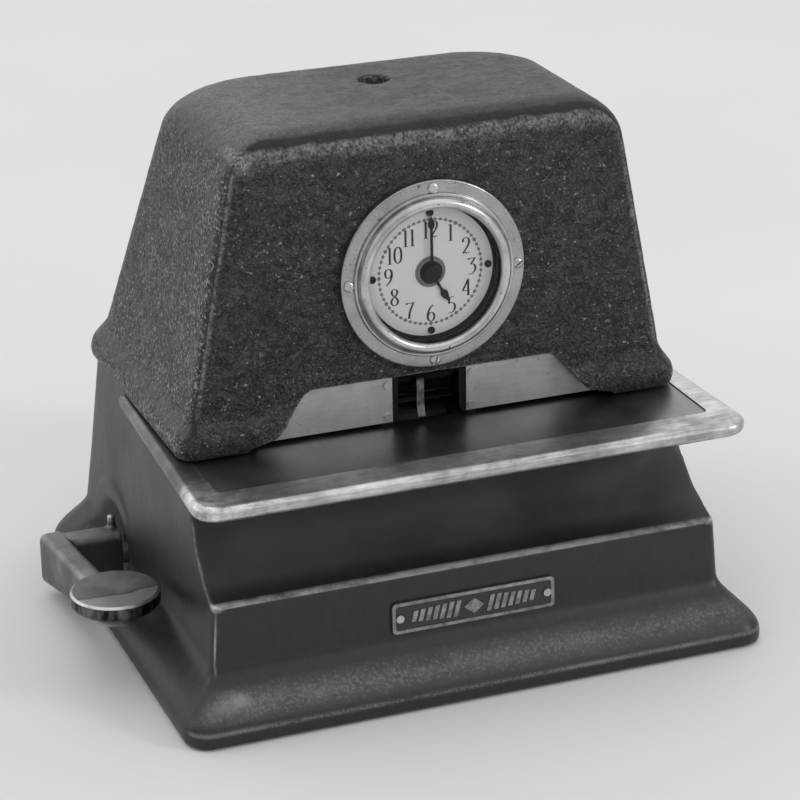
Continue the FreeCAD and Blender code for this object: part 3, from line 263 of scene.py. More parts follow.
def satin():
    """Satin black enamel of the base: faint upright streaks and thin worn edges, with painted light: lighter
    front faces and neck, a speckled painted sheen on the foot, painted highlights on the plinth corner and
    lip, and wear with a painted highlight on the ridge.
    """
    s = Shader("base_enamel")
    x, _, z = s.inside("base_casting")
    nx, ny, _ = s.facing()
    low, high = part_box("base_casting")
    width = (high.x - low.x) / MM
    facing_front = s.span(ny, -0.2, -0.5)
    sheen_fleck_tone, sheen_band_tone, heel_highlight_tone, corner_highlight_tone = grey(0.15), grey(0.15), grey(0.30), grey(0.30)
    lip_highlight_tone, ridge_wear_and_highlight_tone, worn_tone = grey(0.24), grey(0.66), grey(0.42)

    streak = s.noise(420.0, 4.0, 0.6, s.scaled((1.0, 1.0, 0.16)))
    grain = s.noise(1700.0, 2.0, 0.5)
    cloud = s.noise(24.0, 4.0, 0.55)
    tone = s.blend(s.span(s.sum((streak, 0.6), (grain, 0.4)), 0.40, 0.62), grey(0.004), grey(0.014))
    # painted light: faces that look to the front are made lighter
    tone = s.blend(s.span(ny, -0.2, -0.7, 0.0, 0.5), tone, grey(0.022))

    # painted light: the neck above the ridge is made lighter, in cloudy patches
    neck = s.times(s.span(z, RIDGE_HEIGHT + 1, RIDGE_HEIGHT + 5), facing_front)
    tone = s.blend(neck, tone, s.blend(s.span(cloud, 0.35, 0.65), grey(0.030), grey(0.046)))

    # painted sheen: a lighter speckled band along the foot's hollow, with a painted highlight at its left end
    fillet = s.times(s.near(z, 14, 6), s.span(ny, -0.30, -0.70), s.span(x, 0, width, 1.0, 0.55))
    drift = s.span(s.sum((cloud, 0.5), (s.noise(190.0, 3.0, 0.7), 0.5)), 0.36, 0.62)
    speckle = s.span(s.sum((s.noise(760.0, 2.0, 0.5), 1.0), (fillet, 0.16), (cloud, 0.10)), 0.64, 0.78)
    tone = s.blend(s.times(speckle, s.span(fillet, 0.0, 0.6, 0.04, 0.7)), tone, sheen_fleck_tone)
    tone = s.blend(s.times(fillet, s.span(drift, 0.0, 1.0, 0.35, 1.0)), tone, sheen_band_tone)
    heel_highlight = s.times(s.near(x, 22, 8), s.near(z, 15.5, 3.2), s.span(ny, -0.30, -0.60))
    tone = s.blend(s.times(heel_highlight, s.span(drift, 0.0, 1.0, 0.4, 1.0)), tone, heel_highlight_tone)

    # painted highlights on the plinth corner and the foot lip, wear with a painted highlight on the ridge,
    # and worn lines on the other sharp edges
    corner = s.times(s.near(ny, -0.74, 0.13), s.span(nx, -0.3, -0.5), s.near(z, 35, 17))
    tone = s.blend(s.times(corner, s.span(drift, 0.0, 1.0, 0.7, 2.0)), tone, corner_highlight_tone)
    # painted highlight along the top of the foot's lip
    lip_highlight = s.times(s.near(z, 5.8, 1.3), facing_front,
                       s.span(s.sum((cloud, 0.5), (grain, 0.5)), 0.42, 0.60, 0.1, 0.8))
    tone = s.blend(lip_highlight, tone, lip_highlight_tone)
    # wear with a painted highlight: a bright broken line along the ridge
    ridge = s.times(s.near(z, RIDGE_HEIGHT, 0.75), facing_front,
                    s.span(s.noise(70.0, 4.0, 0.7), 0.36, 0.54, 0.45, 1.4))
    tone = s.blend(ridge, tone, ridge_wear_and_highlight_tone)
    broken = s.times(s.span(s.sum((grain, 0.5), (s.noise(130.0, 2.0), 0.5)), 0.38, 0.56), s.span(z, 7, 10))
    tone = s.blend(s.times(s.span(s.attribute("edge"), 0.31, 0.47), broken), tone, worn_tone)

    s.bump([(cloud, 1.0 * MM, 0.3), (streak, 0.10 * MM, 0.4), (grain, 0.05 * MM, 0.5)])
    return s.set(colour=tone, rough=s.span(cloud, 0.35, 0.65, 0.36, 0.46), specular=0.5)


def plated(name, tone, dull, roughness, blotch, streak=(1.0, 18.0, 18.0), scratch=0.4):
    """Worn nickel plate: cloudy tarnish, small dark spots, fine scratches along one axis."""
    s = Shader(name)
    cloud = s.noise(blotch, 5.0, 0.6)
    spots = s.span(s.noise(420.0, 2.0, 0.5), 0.66, 0.74)
    lines = s.noise(90.0, 6.0, 0.7, s.scaled(streak))
    mix = s.sum((cloud, 0.7), (lines, 0.3))
    colour = s.blend(s.span(mix, 0.36, 0.66), grey(dull), grey(tone))
    colour = s.blend(s.times(spots, 0.55), colour, grey(dull * 0.35))
    s.bump([(cloud, 0.10 * MM, 0.35), (lines, 0.05 * MM, scratch)])
    return s.set(colour=colour, metal=1.0,
                 rough=s.span(mix, 0.3, 0.7, roughness + 0.14, roughness - 0.05))


def tray_plate():
    """Worn plate of the table: dull side rails, a bright front strip and mottled corners."""
    s = Shader("tray_nickel")
    x, y = s.inside("table_tray")[:2]
    rail_edge = (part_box("table_inlay")[0].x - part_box("table_tray")[0].x) / MM
    cloud = s.noise(55.0, 5.0, 0.65)
    mottle = s.noise(150.0, 3.0, 0.6)
    lines = s.noise(90.0, 5.0, 0.7, s.scaled((1.0, 16.0, 16.0)))
    mix = s.sum((cloud, 0.6), (lines, 0.4))
    tone = s.blend(s.span(mix, 0.38, 0.60), grey(0.30), grey(0.74))
    rail = s.times(s.span(x, rail_edge + 3, rail_edge - 2), s.span(y, 16, 34))
    tone = s.blend(rail, tone, s.blend(s.span(cloud, 0.4, 0.6), grey(0.13), grey(0.22)))
    corner = s.times(s.span(x, 40, 12), s.span(y, 34, 10))
    stains = s.times(s.span(mottle, 0.46, 0.34), s.span(corner, 0.0, 1.0, 0.1, 0.6))
    tone = s.blend(stains, tone, grey(0.14))
    tone = s.blend(s.times(s.span(mottle, 0.52, 0.66), corner), tone, grey(0.92))
    s.bump([(cloud, 0.14 * MM, 0.4), (mottle, 0.04 * MM, 0.5), (lines, 0.03 * MM, 0.3)])
    return s.set(colour=tone, metal=1.0, rough=s.span(mix, 0.3, 0.7, 0.46, 0.32))


def bezel_plate():
    """Nickelled bezel: grained flange, brighter roll, and painted shade on the inner face of the bore near
    the dial.
    """
    s = Shader("bezel_nickel")
    x, y, z = s.inside("bezel")
    low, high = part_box("bezel")
    centre = (high - low) / (2 * MM)
    across, upright = s.math("SUBTRACT", x, centre.x), s.math("SUBTRACT", z, centre.z)
    radius = s.math("SQRT", s.math("ADD", s.math("MULTIPLY", across, across),
                                   s.math("MULTIPLY", upright, upright)))
    roll_radius, wall_radius = 34.6, 28.95
    dial_depth = (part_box("dial_plate")[0].y - low.y) / MM
    grain = s.noise(900.0, 3.0, 0.6)
    cloud = s.noise(60.0, 4.0, 0.6)
    specks = s.span(s.noise(520.0, 2.0, 0.5), 0.68, 0.74)
    tone = s.blend(s.span(s.sum((cloud, 0.5), (grain, 0.5)), 0.38, 0.62), grey(0.30), grey(0.44))
    tone = s.blend(s.span(radius, roll_radius, roll_radius - 1.0), tone,
                   s.blend(s.span(cloud, 0.4, 0.6), grey(0.42), grey(0.62)))
    tone = s.blend(specks, tone, grey(0.10))
    # painted shade: the bore's inner face near the dial is made nearly black
    bore_shade = s.times(s.span(radius, wall_radius, wall_radius - 0.2),
                   s.span(y, dial_depth - 7.5, dial_depth - 6.0))
    tone = s.blend(bore_shade, tone, grey(0.01))
    s.bump([(cloud, 0.06 * MM, 0.3), (grain, 0.03 * MM, 0.5)])
    return s.set(colour=tone, metal=1.0, rough=s.span(cloud, 0.3, 0.7, 0.34, 0.26))


def pad_plate():
    """Thumb pad: top lighter towards the front with a dark line across it, painted dark reflection on the
    rim, painted highlight on the upper edge.
    """
    s = Shader("pad_nickel")
    y = s.inside("thumb_pad")[1]
    nz = s.facing()[2]
    crescent_place = 18.6
    cloud = s.noise(90.0, 4.0, 0.6)
    wavy = s.sum((y, 1.0), (s.noise(60.0, 2.0), 7.0))
    # top lighter towards the front, with a dark line where the two parts meet
    front = s.span(wavy, crescent_place - 0.1, crescent_place - 1.6)
    top = s.blend(front, s.blend(s.span(cloud, 0.35, 0.65), grey(0.10), grey(0.17)), grey(0.27))
    top = s.blend(s.times(s.near(wavy, crescent_place, 0.9), 0.8), top, grey(0.03))
    # painted reflection: the rim is dark, in streaky patches
    tarnish = s.span(s.noise(240.0, 3.0, 0.6, s.scaled((1.0, 1.0, 0.3))), 0.42, 0.66)
    tone = s.blend(s.span(nz, 0.15, 0.45), s.blend(tarnish, grey(0.015), grey(0.16)), top)
    # painted highlight along the upper edge
    lit = s.times(s.span(nz, 0.25, 0.5), s.span(nz, 0.97, 0.85), s.span(cloud, 0.35, 0.5))
    tone = s.blend(lit, tone, grey(0.60))
    s.bump([(cloud, 0.30 * MM, 0.4)])
    return s.set(colour=tone, metal=1.0, rough=s.span(cloud, 0.3, 0.7, 0.30, 0.40))


def lever_plate():
    """Dull lever steel with hand-rubbed bright edges."""
    s = Shader("lever_steel")
    cloud = s.noise(40.0, 5.0, 0.6)
    pits = s.span(s.noise(420.0, 2.0, 0.5), 0.66, 0.74)
    tone = s.blend(s.span(cloud, 0.36, 0.66), grey(0.12), grey(0.20))
    tone = s.blend(s.times(pits, 0.55), tone, grey(0.05))
    rubbed = s.times(s.span(s.attribute("edge"), 0.12, 0.36), s.span(cloud, 0.38, 0.52, 0.3, 1.0))
    tone = s.blend(rubbed, tone, grey(0.52))
    s.bump([(cloud, 0.10 * MM, 0.35)])
    return s.set(colour=tone, metal=1.0, rough=s.span(cloud, 0.3, 0.7, 0.56, 0.38))


def guide_metal():
    """Paper finger: dull in its lower part; black above as painted shade inside the throat."""
    s = Shader("finger_steel")
    z = s.inside("paper_guide")[2]
    stain = s.noise(300.0, 3.0, 0.6)
    tone = s.blend(s.span(stain, 0.4, 0.6), grey(0.12), grey(0.24))
    # painted shade: black in the upper part, inside the throat
    tone = s.blend(s.span(z, 15, 17), tone, grey(0.008))
    s.bump([(stain, 0.05 * MM, 0.5)])
    return s.set(colour=tone, metal=1.0, rough=s.span(stain, 0.3, 0.7, 0.36, 0.5))


def polished(name, tone, roughness, streak=(22.0, 1.0, 22.0)):
    """Dark polished sheet with rubbed lanes and faint smears."""
    s = Shader(name)
    smear = s.noise(36.0, 5.0, 0.65)
    lines = s.noise(60.0, 6.0, 0.75, s.scaled(streak))
    mix = s.sum((smear, 0.6), (lines, 0.4))
    colour = s.blend(s.span(mix, 0.35, 0.68), grey(tone * 0.72), grey(tone * 1.25))
    s.bump([(smear, 0.25 * MM, 0.25), (lines, 0.04 * MM, 0.35)])
    return s.set(colour=colour, metal=1.0,
                 rough=s.span(mix, 0.3, 0.7, roughness - 0.05, roughness + 0.10))


def painted(name, tone, roughness, grain=900.0, depth=0.05, vary=0.85, shine=0.5):
    """Smooth paint or plastic with a faint orange peel and dust."""
    s = Shader(name)
    peel = s.noise(grain, 3.0, 0.5)
    dust = s.noise(55.0, 5.0, 0.6)
    colour = s.blend(s.span(dust, 0.35, 0.7), grey(tone * vary), grey(tone))
    s.bump([(peel, depth * MM, 0.5)])
    return s.set(colour=colour, rough=s.span(dust, 0.3, 0.7, roughness - 0.04, roughness + 0.06),
                 specular=shine)


def turned(name, colour, roughness):
    """Machined metal with fine tool marks."""
    s = Shader(name)
    marks = s.noise(1400.0, 2.0, 0.5, s.scaled((3.0, 0.4, 0.4)))
    stain = s.noise(90.0, 4.0, 0.6)
    dark = tuple(c * 0.7 for c in colour) + (1.0,)
    s.bump([(marks, 0.03 * MM, 0.6)])
    return s.set(colour=s.blend(s.span(stain, 0.35, 0.65), dark, colour + (1.0,)), metal=1.0,
                 rough=s.span(marks, 0.3, 0.7, roughness, roughness + 0.12))


def woven(name, tone):
    """Inked cotton ribbon."""
    s = Shader(name)
    warp = s.add("ShaderNodeTexWave", wave_type="BANDS", bands_direction="X")
    s.put(warp.inputs["Vector"], s.place)
    warp.inputs["Scale"].default_value = 900.0
    stain = s.noise(200.0, 4.0, 0.6)
    s.bump([(warp.outputs["Fac"], 0.08 * MM, 0.6)])
    return s.set(colour=s.blend(stain, grey(tone), grey(tone * 2.2)), rough=0.85)


def glass(name):
    """Clear flat crystal: it mirrors a little and lets the dial show."""
    s = Shader(name)
    s.set(colour=grey(1.0), rough=s.span(s.noise(60.0), 0.3, 0.7, 0.02, 0.06), specular=0.5)
    clear = s.add("ShaderNodeBsdfTransparent")
    clear.inputs["Color"].default_value = grey(0.97)
    mirror = s.add("ShaderNodeFresnel")
    mirror.inputs["IOR"].default_value = 1.25
    mix = s.add("ShaderNodeMixShader")
    s.put(mix.inputs[0], mirror.outputs[0])
    s.put(mix.inputs[1], clear.outputs[0])
    s.put(mix.inputs[2], s.bsdf.outputs[0])
    s.put(s.tree.nodes["Material Output"].inputs["Surface"], mix.outputs[0])
    return s.material


LOOKS = {
    "black_wrinkle_enamel": wrinkled(),
    "nickel_plate": plated("nickel_sheet", tone=0.60, dull=0.34, roughness=0.34, blotch=34.0),
    "dark_polished_steel": polished("table_steel", tone=0.27, roughness=0.33),
    "machined_steel": turned("machined", (0.42, 0.42, 0.41), roughness=0.34),
    "plated_screws": plated("screw_plate", tone=0.70, dull=0.42, roughness=0.26, blotch=120.0),
    "black_metal": painted("black_paint", tone=0.006, roughness=0.42, shine=0.2),
    "dial_white": painted("dial_paint", tone=0.92, roughness=0.46, grain=1400.0, depth=0.02, vary=0.95),
    "crystal_glass": glass("crystal_clear"),
    "black_rubber": painted("rubber", tone=0.02, roughness=0.78, grain=1600.0, depth=0.10),
    "brass": turned("turned_brass", (0.55, 0.44, 0.24), roughness=0.30),
    "black_plastic": painted("plastic", tone=0.018, roughness=0.5),
    "inked_fabric": woven("ribbon_cotton", tone=0.010),
}
BASE_ENAMEL = satin()
PRINT_BLACK = painted("dial_print", tone=0.012, roughness=0.5)
PRINT_GREY = painted("dial_print_grey", tone=0.22, roughness=0.5)
BEZEL_METAL = bezel_plate()
PLATE_METAL = plated("guard_nickel", tone=0.66, dull=0.42, roughness=0.42, blotch=48.0,
                     streak=(1.0, 14.0, 14.0), scratch=0.5)
TRAY_METAL = tray_plate()
# type wheels: inked, and nearly black as painted shade inside the throat
TYPE_INK_AND_SHADE = turned("type_ink_and_shade", (0.020, 0.019, 0.018), roughness=0.5)
GUIDE_METAL = guide_metal()
LEVER_METAL = lever_plate()
PAD_METAL = pad_plate()
NAME_GROUND = painted("nameplate_ground", tone=0.03, roughness=0.4)
NAME_RAISED = plated("nameplate_metal", tone=0.46, dull=0.18, roughness=0.42, blotch=260.0)


# ------------------------------------------------------------ mesh helpers
def link(name, mesh, body, material):
    """New piece that rides on a CAD body."""
    item = bpy.data.objects.new(name, mesh)
    scene.collection.objects.link(item)
    mesh.materials.clear()
    mesh.materials.append(material)
    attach(item, body)
    return item


def coordinates(mesh):
    flat = np.empty(len(mesh.vertices) * 3)
    mesh.vertices.foreach_get("co", flat)
    return flat.reshape(-1, 3)


def neighbours(mesh):
    """Edge ends and the number of edges at each vertex."""
    ends = np.empty(len(mesh.edges) * 2, dtype=np.int64)
    mesh.edges.foreach_get("vertices", ends)
    ends = ends.reshape(-1, 2)
    count = np.bincount(ends.ravel(), minlength=len(mesh.vertices)).astype(float)
    return ends, np.maximum(count, 1.0)


def averaged(values, ends, count):
    """Mean of each vertex's neighbours."""
    total = np.zeros_like(values)
    for axis in range(values.shape[1]):
        total[:, axis] += np.bincount(ends[:, 0], values[ends[:, 1], axis], len(values))
        total[:, axis] += np.bincount(ends[:, 1], values[ends[:, 0], axis], len(values))
    return total / count[:, None]


SOFTENING = 0.6          # share of the neighbours' mean in one round of smoothing
LUMPS_PER_METRE = 170.0
LUMP_SETBACK = 0.9       # keeps the uneven skin inside the casting


def cast(name, node, body, material, voxel, rounds, lumps, hollow=None):
    """Casting skin over a CAD node: remeshed, softened at its edges, slightly uneven, with a wear mask.

    The optional hollow is a centre, a reach and a number of extra rounds that soften one place more.
    """
    rough = bpy.data.objects.new(name + "_work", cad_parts[node].data.copy())
    scene.collection.objects.link(rough)
    remesh = rough.modifiers.new("remesh", "REMESH")
    remesh.mode = "VOXEL"
    remesh.voxel_size = voxel
    graph = bpy.context.evaluated_depsgraph_get()
    mesh = bpy.data.meshes.new_from_object(rough.evaluated_get(graph))
    bpy.data.objects.remove(rough)
    mesh.name = name
    ends, count = neighbours(mesh)
    points = coordinates(mesh)
    for _ in range(rounds):
        points = (1 - SOFTENING) * points + SOFTENING * averaged(points, ends, count)
    if hollow is not None:
        centre, reach, extra = hollow
        away = np.linalg.norm(points - np.array(centre), axis=1)[:, None]
        share = np.clip((reach - away) / (0.4 * reach), 0.0, 1.0) * SOFTENING
        for _ in range(extra):
            points = (1 - share) * points + share * averaged(points, ends, count)
    mesh.vertices.foreach_set("co", points.ravel())
    mesh.update()
    normals = np.empty(len(points) * 3)
    mesh.vertices.foreach_get("normal", normals)
    normals = normals.reshape(-1, 3)
    wide = points
    for _ in range(6):
        wide = averaged(wide, ends, count)
    bulge = ((points - wide) * normals).sum(axis=1)[:, None] / voxel
    for _ in range(3):
        bulge = averaged(bulge, ends, count)
    uneven = np.array([noise.fractal(Vector(p) * LUMPS_PER_METRE, 0.6, 2.0, 2) for p in points])
    points = points + normals * (uneven[:, None] - LUMP_SETBACK) * lumps
    mesh.vertices.foreach_set("co", points.ravel())
    mark = mesh.attributes.new("edge", "FLOAT", "POINT")
    mark.data.foreach_set("value", np.clip(bulge[:, 0], 0.0, 1.0).astype(np.float32))
    mesh.polygons.foreach_set("use_smooth", [True] * len(mesh.polygons))
    mesh.update()
    item = link(name, mesh, body, material)
    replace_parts(item, node)
    return item


def lathe(profile, steps=160):
    """Mesh turned about its Y axis from (radius, y) points; y points to the back."""
    mesh = bpy.data.meshes.new("lathe")
    work = bmesh.new()
    rings = []
    for index in range(steps):
        angle = 2 * math.pi * index / steps
        rings.append([work.verts.new((r * math.sin(angle), y, r * math.cos(angle))) for r, y in profile])
    for index in range(steps):
        here, after = rings[index], rings[(index + 1) % steps]
        for step in range(len(profile) - 1):
            work.faces.new((here[step], here[step + 1], after[step + 1], after[step]))
    bmesh.ops.recalc_face_normals(work, faces=work.faces)
    work.to_mesh(mesh)
    work.free()
    return mesh


def arc(cx, cy, radius, start, stop, steps):
    """Points of a circular arc in profile coordinates, angles in degrees."""
    points = []
    for step in range(steps + 1):
        angle = math.radians(start + (stop - start) * step / steps)
        points.append((cx + radius * math.cos(angle), cy + radius * math.sin(angle)))
    return points


def smooth(mesh, angle=35.0):
    """Smooth shading that keeps real creases."""
    mesh.polygons.foreach_set("use_smooth", [True] * len(mesh.polygons))
    mesh.set_sharp_from_angle(angle=math.radians(angle))


# -------------------------------------------------- finishes on the CAD nodes
for label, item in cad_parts.items():
    slot_name = item.material_slots[0].material.name.split(".")[0]
    for holder in item.material_slots:
        holder.material = LOOKS[slot_name]
    smooth(item.data, 30.0)
SPECIAL_LOOKS = {
    "left_guard_plate": PLATE_METAL, "right_guard_plate": PLATE_METAL,
    "minute_type_wheel": TYPE_INK_AND_SHADE, "hour_type_wheel": TYPE_INK_AND_SHADE,
    "day_type_wheel": TYPE_INK_AND_SHADE, "month_type_wheel": TYPE_INK_AND_SHADE,
    # painted shade: the crystal ring and dial carrier are black so the bezel's recess reads as shadow; the
    # left bushing is painted over black, which also stands in for the shadow gap at the lever's root
    "crystal_ring": LOOKS["black_metal"], "dial_carrier": LOOKS["black_metal"],
    "left_bushing": LOOKS["black_metal"], "paper_guide": GUIDE_METAL,
    "nameplate": NAME_GROUND, "table_tray": TRAY_METAL, "thumb_pad": PAD_METAL,
}
for label, special in SPECIAL_LOOKS.items():
    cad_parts[label].material_slots[0].material = special

# ------------------------------------------------------------------ castings
VOXEL = 1.0 * MM
cast("head_skin", "head_casing", "cover", LOOKS["black_wrinkle_enamel"],
     VOXEL, 3, 0.12 * MM)
bushing_low, bushing_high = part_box("left_bushing")
lever_root = (bushing_low + bushing_high) / 2
lever_root.x = bushing_low.x - 8 * MM
cast("base_skin", "base_casting", "frame", BASE_ENAMEL, VOXEL, 2, 0.05 * MM,
     (lever_root, 38 * MM, 12))

# ------------------------------------------------------------ bezel and dial
dial_low, dial_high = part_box("dial_plate")
dial_centre = (dial_low + dial_high) / 2
HEAD_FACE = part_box("bezel")[1].y - 3.0 * MM  # the bezel's sleeve goes 3 mm into the head
# section in millimetres: radius, and depth behind the head's face
profile = [(29.5, 3.0), (29.5, -3.9), (28.7, -3.9)]
profile += [(28.5, -4.3)] + arc(30.75, -4.6, 2.22, 180, 285, 14)
profile += [(32.5, -5.9), (33.0, -4.6), (33.15, -3.5)] + arc(34.0, -3.35, 0.72, 200, 340, 8)
profile += [(34.9, -2.75), (36.5, -2.7), (39.0, -2.55)] + arc(39.1, -1.75, 0.78, 280, 360, 5)
profile += [(39.9, 0.0), (32.6, 0.0), (32.6, 3.0), (29.5, 3.0)]
bezel_mesh = lathe([(r * MM, y * MM) for r, y in profile], 200)
bezel_mesh.transform(Matrix.Translation((dial_centre.x, HEAD_FACE, dial_centre.z)))
smooth(bezel_mesh, 50.0)
bezel_piece = link("bezel_ring", bezel_mesh, "cover", BEZEL_METAL)
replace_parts(bezel_piece, "bezel")


def domed_screw(x, y, z, radius, height, turn):
    """Domed head with a slot, facing the front."""
    rings = [(0.0, -height)] + [
        (radius * math.sin(math.radians(a)), -height * (0.25 + 0.75 * math.cos(math.radians(a))))
        for a in range(9, 91, 9)] + [(radius, 0.0)]
    mesh = lathe(rings, 48)
    work = bmesh.new()
    work.from_mesh(mesh)
    bmesh.ops.remove_doubles(work, verts=work.verts, dist=1e-7)
    across = Vector((math.cos(turn), 0, math.sin(turn)))
    half = 0.36 * MM  # half of the slot's width
    for side in (-1, 1):
        for shift in (half, half * 1.15):
            bmesh.ops.bisect_plane(work, geom=work.verts[:] + work.edges[:] + work.faces[:],
                                   plane_co=across * side * shift, plane_no=across)
    for vert in work.verts:
        if abs(vert.co.dot(across)) < half * 1.05 and vert.co.y < -0.2 * height:
            vert.co.y = -0.32 * height
    work.to_mesh(mesh)
    work.free()
    mesh.transform(Matrix.Translation((x, y, z)))
    smooth(mesh, 40.0)
    return mesh


def joined(name, meshes):
    """One mesh from several."""
    work = bmesh.new()
    for part in meshes:
        work.from_mesh(part)
    mesh = bpy.data.meshes.new(name)
    work.to_mesh(mesh)
    work.free()
    return mesh


SCREW_TURNS = (0.75, 2.2, 2.75, 0.5)  # angle of each slot, from the top screw clockwise
screw_low, screw_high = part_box("bezel_screws")
screw_circle = (screw_high.x - screw_low.x) / 2 - 2.4 * MM
screw_meshes = []
for index, turn in enumerate(SCREW_TURNS):
    angle = math.pi / 2 * index
    screw_meshes.append(domed_screw(
        dial_centre.x + screw_circle * math.sin(angle), HEAD_FACE - 2.6 * MM,
        dial_centre.z + screw_circle * math.cos(angle), 2.3 * MM, 1.5 * MM, turn))
screw_mesh = joined("bezel_screw_heads", screw_meshes)
smooth(screw_mesh, 40.0)
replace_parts(link("bezel_screw_heads", screw_mesh, "cover", LOOKS["plated_screws"]),
            "bezel_screws")

# numerals: each stroke is a line of points in a box one unit high, drawn with a broad pen
GLYPHS = {
    "0": [[(0.25, 1.0), (0.08, 0.82), (0.04, 0.5), (0.08, 0.18), (0.25, 0.0), (0.42, 0.18), (0.46, 0.5),
           (0.42, 0.82), (0.25, 1.0)]],
    "1": [[(0.25, 1.0), (0.25, 0.0)], [(0.13, 0.97), (0.26, 0.985)], [(0.12, 0.01), (0.38, 0.01)]],
    "2": [[(0.10, 0.74), (0.06, 0.84), (0.12, 0.95), (0.25, 1.0), (0.40, 0.93), (0.45, 0.76), (0.38, 0.52),
           (0.22, 0.27), (0.06, 0.04)], [(0.06, 0.04), (0.18, 0.10), (0.32, 0.03), (0.47, 0.09)]],
    "3": [[(0.06, 0.90), (0.09, 0.98), (0.28, 0.96), (0.47, 0.98)], [(0.47, 0.98), (0.20, 0.60)],
          [(0.20, 0.60), (0.36, 0.59), (0.47, 0.44), (0.47, 0.26), (0.38, 0.10), (0.22, 0.0), (0.04, 0.04)]],
    "4": [[(0.37, 1.0), (0.20, 0.66), (0.01, 0.30)], [(0.01, 0.30), (0.50, 0.30)], [(0.37, 1.0), (0.37, 0.0)],
          [(0.25, 0.01), (0.48, 0.01)]],
    "5": [[(0.13, 0.97), (0.44, 0.99)], [(0.13, 0.97), (0.10, 0.58)],
          [(0.10, 0.58), (0.24, 0.63), (0.40, 0.56), (0.47, 0.38), (0.43, 0.16), (0.27, 0.01), (0.06, 0.0)]],
    "6": [[(0.40, 1.0), (0.20, 0.80), (0.07, 0.52), (0.05, 0.26), (0.13, 0.06), (0.26, 0.0), (0.40, 0.07),
           (0.46, 0.26), (0.41, 0.46), (0.28, 0.55), (0.14, 0.48), (0.07, 0.36)]],
    "7": [[(0.05, 0.88), (0.07, 0.97), (0.26, 0.95), (0.48, 0.98)],
          [(0.48, 0.98), (0.33, 0.66), (0.22, 0.33), (0.19, 0.0)]],
    "8": [[(0.25, 1.0), (0.12, 0.94), (0.08, 0.78), (0.17, 0.62), (0.34, 0.48), (0.45, 0.28), (0.40, 0.08),
           (0.25, 0.0), (0.10, 0.08), (0.05, 0.26), (0.14, 0.45), (0.32, 0.60), (0.42, 0.78), (0.38, 0.94),
           (0.25, 1.0)]],
}
GLYPHS["9"] = [[(0.50 - x, 1.0 - z) for x, z in stroke] for stroke in GLYPHS["6"]]
FINE_PEN, BROAD_PEN = 0.040, 0.135
FIGURE_HEIGHT = 7.0 * MM
FIGURE_RADIUS_X, FIGURE_RADIUS_Z = 18.1 * MM, 17.9 * MM
TRACK_RADIUS, TRACK_WIDTH = 22.3 * MM, 0.24 * MM
PRINT_Y = dial_low.y - 0.03 * MM
PRINT_THICKNESS = 0.04 * MM


def curve_points(points, steps=10):
    """Smooth line through the points."""
    if len(points) < 3:
        (x0, z0), (x1, z1) = points
        return [(x0 + (x1 - x0) * t / steps, z0 + (z1 - z0) * t / steps) for t in range(steps + 1)]
    closed = points[0] == points[-1]
    count = len(points)
    line = []
    for index in range(count - 1):
        before = points[index - 1] if index else (points[-2] if closed else points[0])
        after = points[index + 2] if index + 2 < count else (points[1] if closed else points[-1])
        a, b = points[index], points[index + 1]
        for step in range(steps):
            t = step / steps
            line.append(tuple(
                0.5 * (2 * a[k] + (b[k] - before[k]) * t
                       + (2 * before[k] - 5 * a[k] + 4 * b[k] - after[k]) * t * t
                       + (3 * a[k] - before[k] - 3 * b[k] + after[k]) * t ** 3) for k in (0, 1)))
    return line + [points[-1]]


def inked(work, stroke, at_x, at_z, size, y):
    """Adds one pen stroke as a flat strip: upright runs are broad and level runs are fine."""
    line = curve_points(stroke)
    pairs = []
    for index, (x, z) in enumerate(line):
        x0, z0 = line[max(index - 1, 0)]
        x1, z1 = line[min(index + 1, len(line) - 1)]
        dx, dz = x1 - x0, z1 - z0
        length = math.hypot(dx, dz) or 1.0
        dx, dz = dx / length, dz / length
        half = (FINE_PEN + (BROAD_PEN - FINE_PEN) * abs(dz) ** 2.2) / 2
        pairs.append([
            work.verts.new((at_x + (x + side * dz * half) * size, y, at_z + (z - side * dx * half) * size))
            for side in (-1, 1)])
    for (a, b), (c, d) in zip(pairs, pairs[1:]):
        work.faces.new((a, b, d, c))


def figures():
    """Hour numerals, upright, each centred on its own spot."""
    work = bmesh.new()
    for hour in range(1, 13):
        angle = math.radians(30 * hour)
        pitch = {10: 0.50, 11: 0.42, 12: 0.50}.get(hour, 0.0)
        width = 0.5 + pitch
        x = dial_centre.x + FIGURE_RADIUS_X * math.sin(angle) - width * FIGURE_HEIGHT / 2
        z = dial_centre.z + FIGURE_RADIUS_Z * math.cos(angle) - FIGURE_HEIGHT / 2
        for place, digit in enumerate(str(hour)):
            for stroke in GLYPHS[digit]:
                inked(work, stroke, x + place * pitch * FIGURE_HEIGHT, z, FIGURE_HEIGHT, PRINT_Y)
    return thickened(work, "dial_figures")


def thickened(work, name):
    """Closes flat shapes into thin raised ones."""
    front = work.faces[:]
    made = bmesh.ops.extrude_face_region(work, geom=front)
    for vert in made["geom"]:
        if isinstance(vert, bmesh.types.BMVert):
            vert.co.y += PRINT_THICKNESS
    bmesh.ops.recalc_face_normals(work, faces=work.faces)
    mesh = bpy.data.meshes.new(name)
    work.to_mesh(mesh)
    work.free()
    return mesh


def circle(work, x, z, radius, y, sides):
    """Vertices around a point, facing the front."""
    verts = []
    for k in range(sides):
        angle = 2 * math.pi * k / sides
        verts.append(work.verts.new((x + radius * math.sin(angle), y, z + radius * math.cos(angle))))
    return verts


def flat_ring(work, inner, outer, y, sides=180):
    """Flat ring around the dial's centre."""
    inside, outside = (circle(work, dial_centre.x, dial_centre.z, r, y, sides) for r in (inner, outer))
    for k in range(sides):
        after = (k + 1) % sides
        work.faces.new((inside[k], outside[k], outside[after], inside[after]))


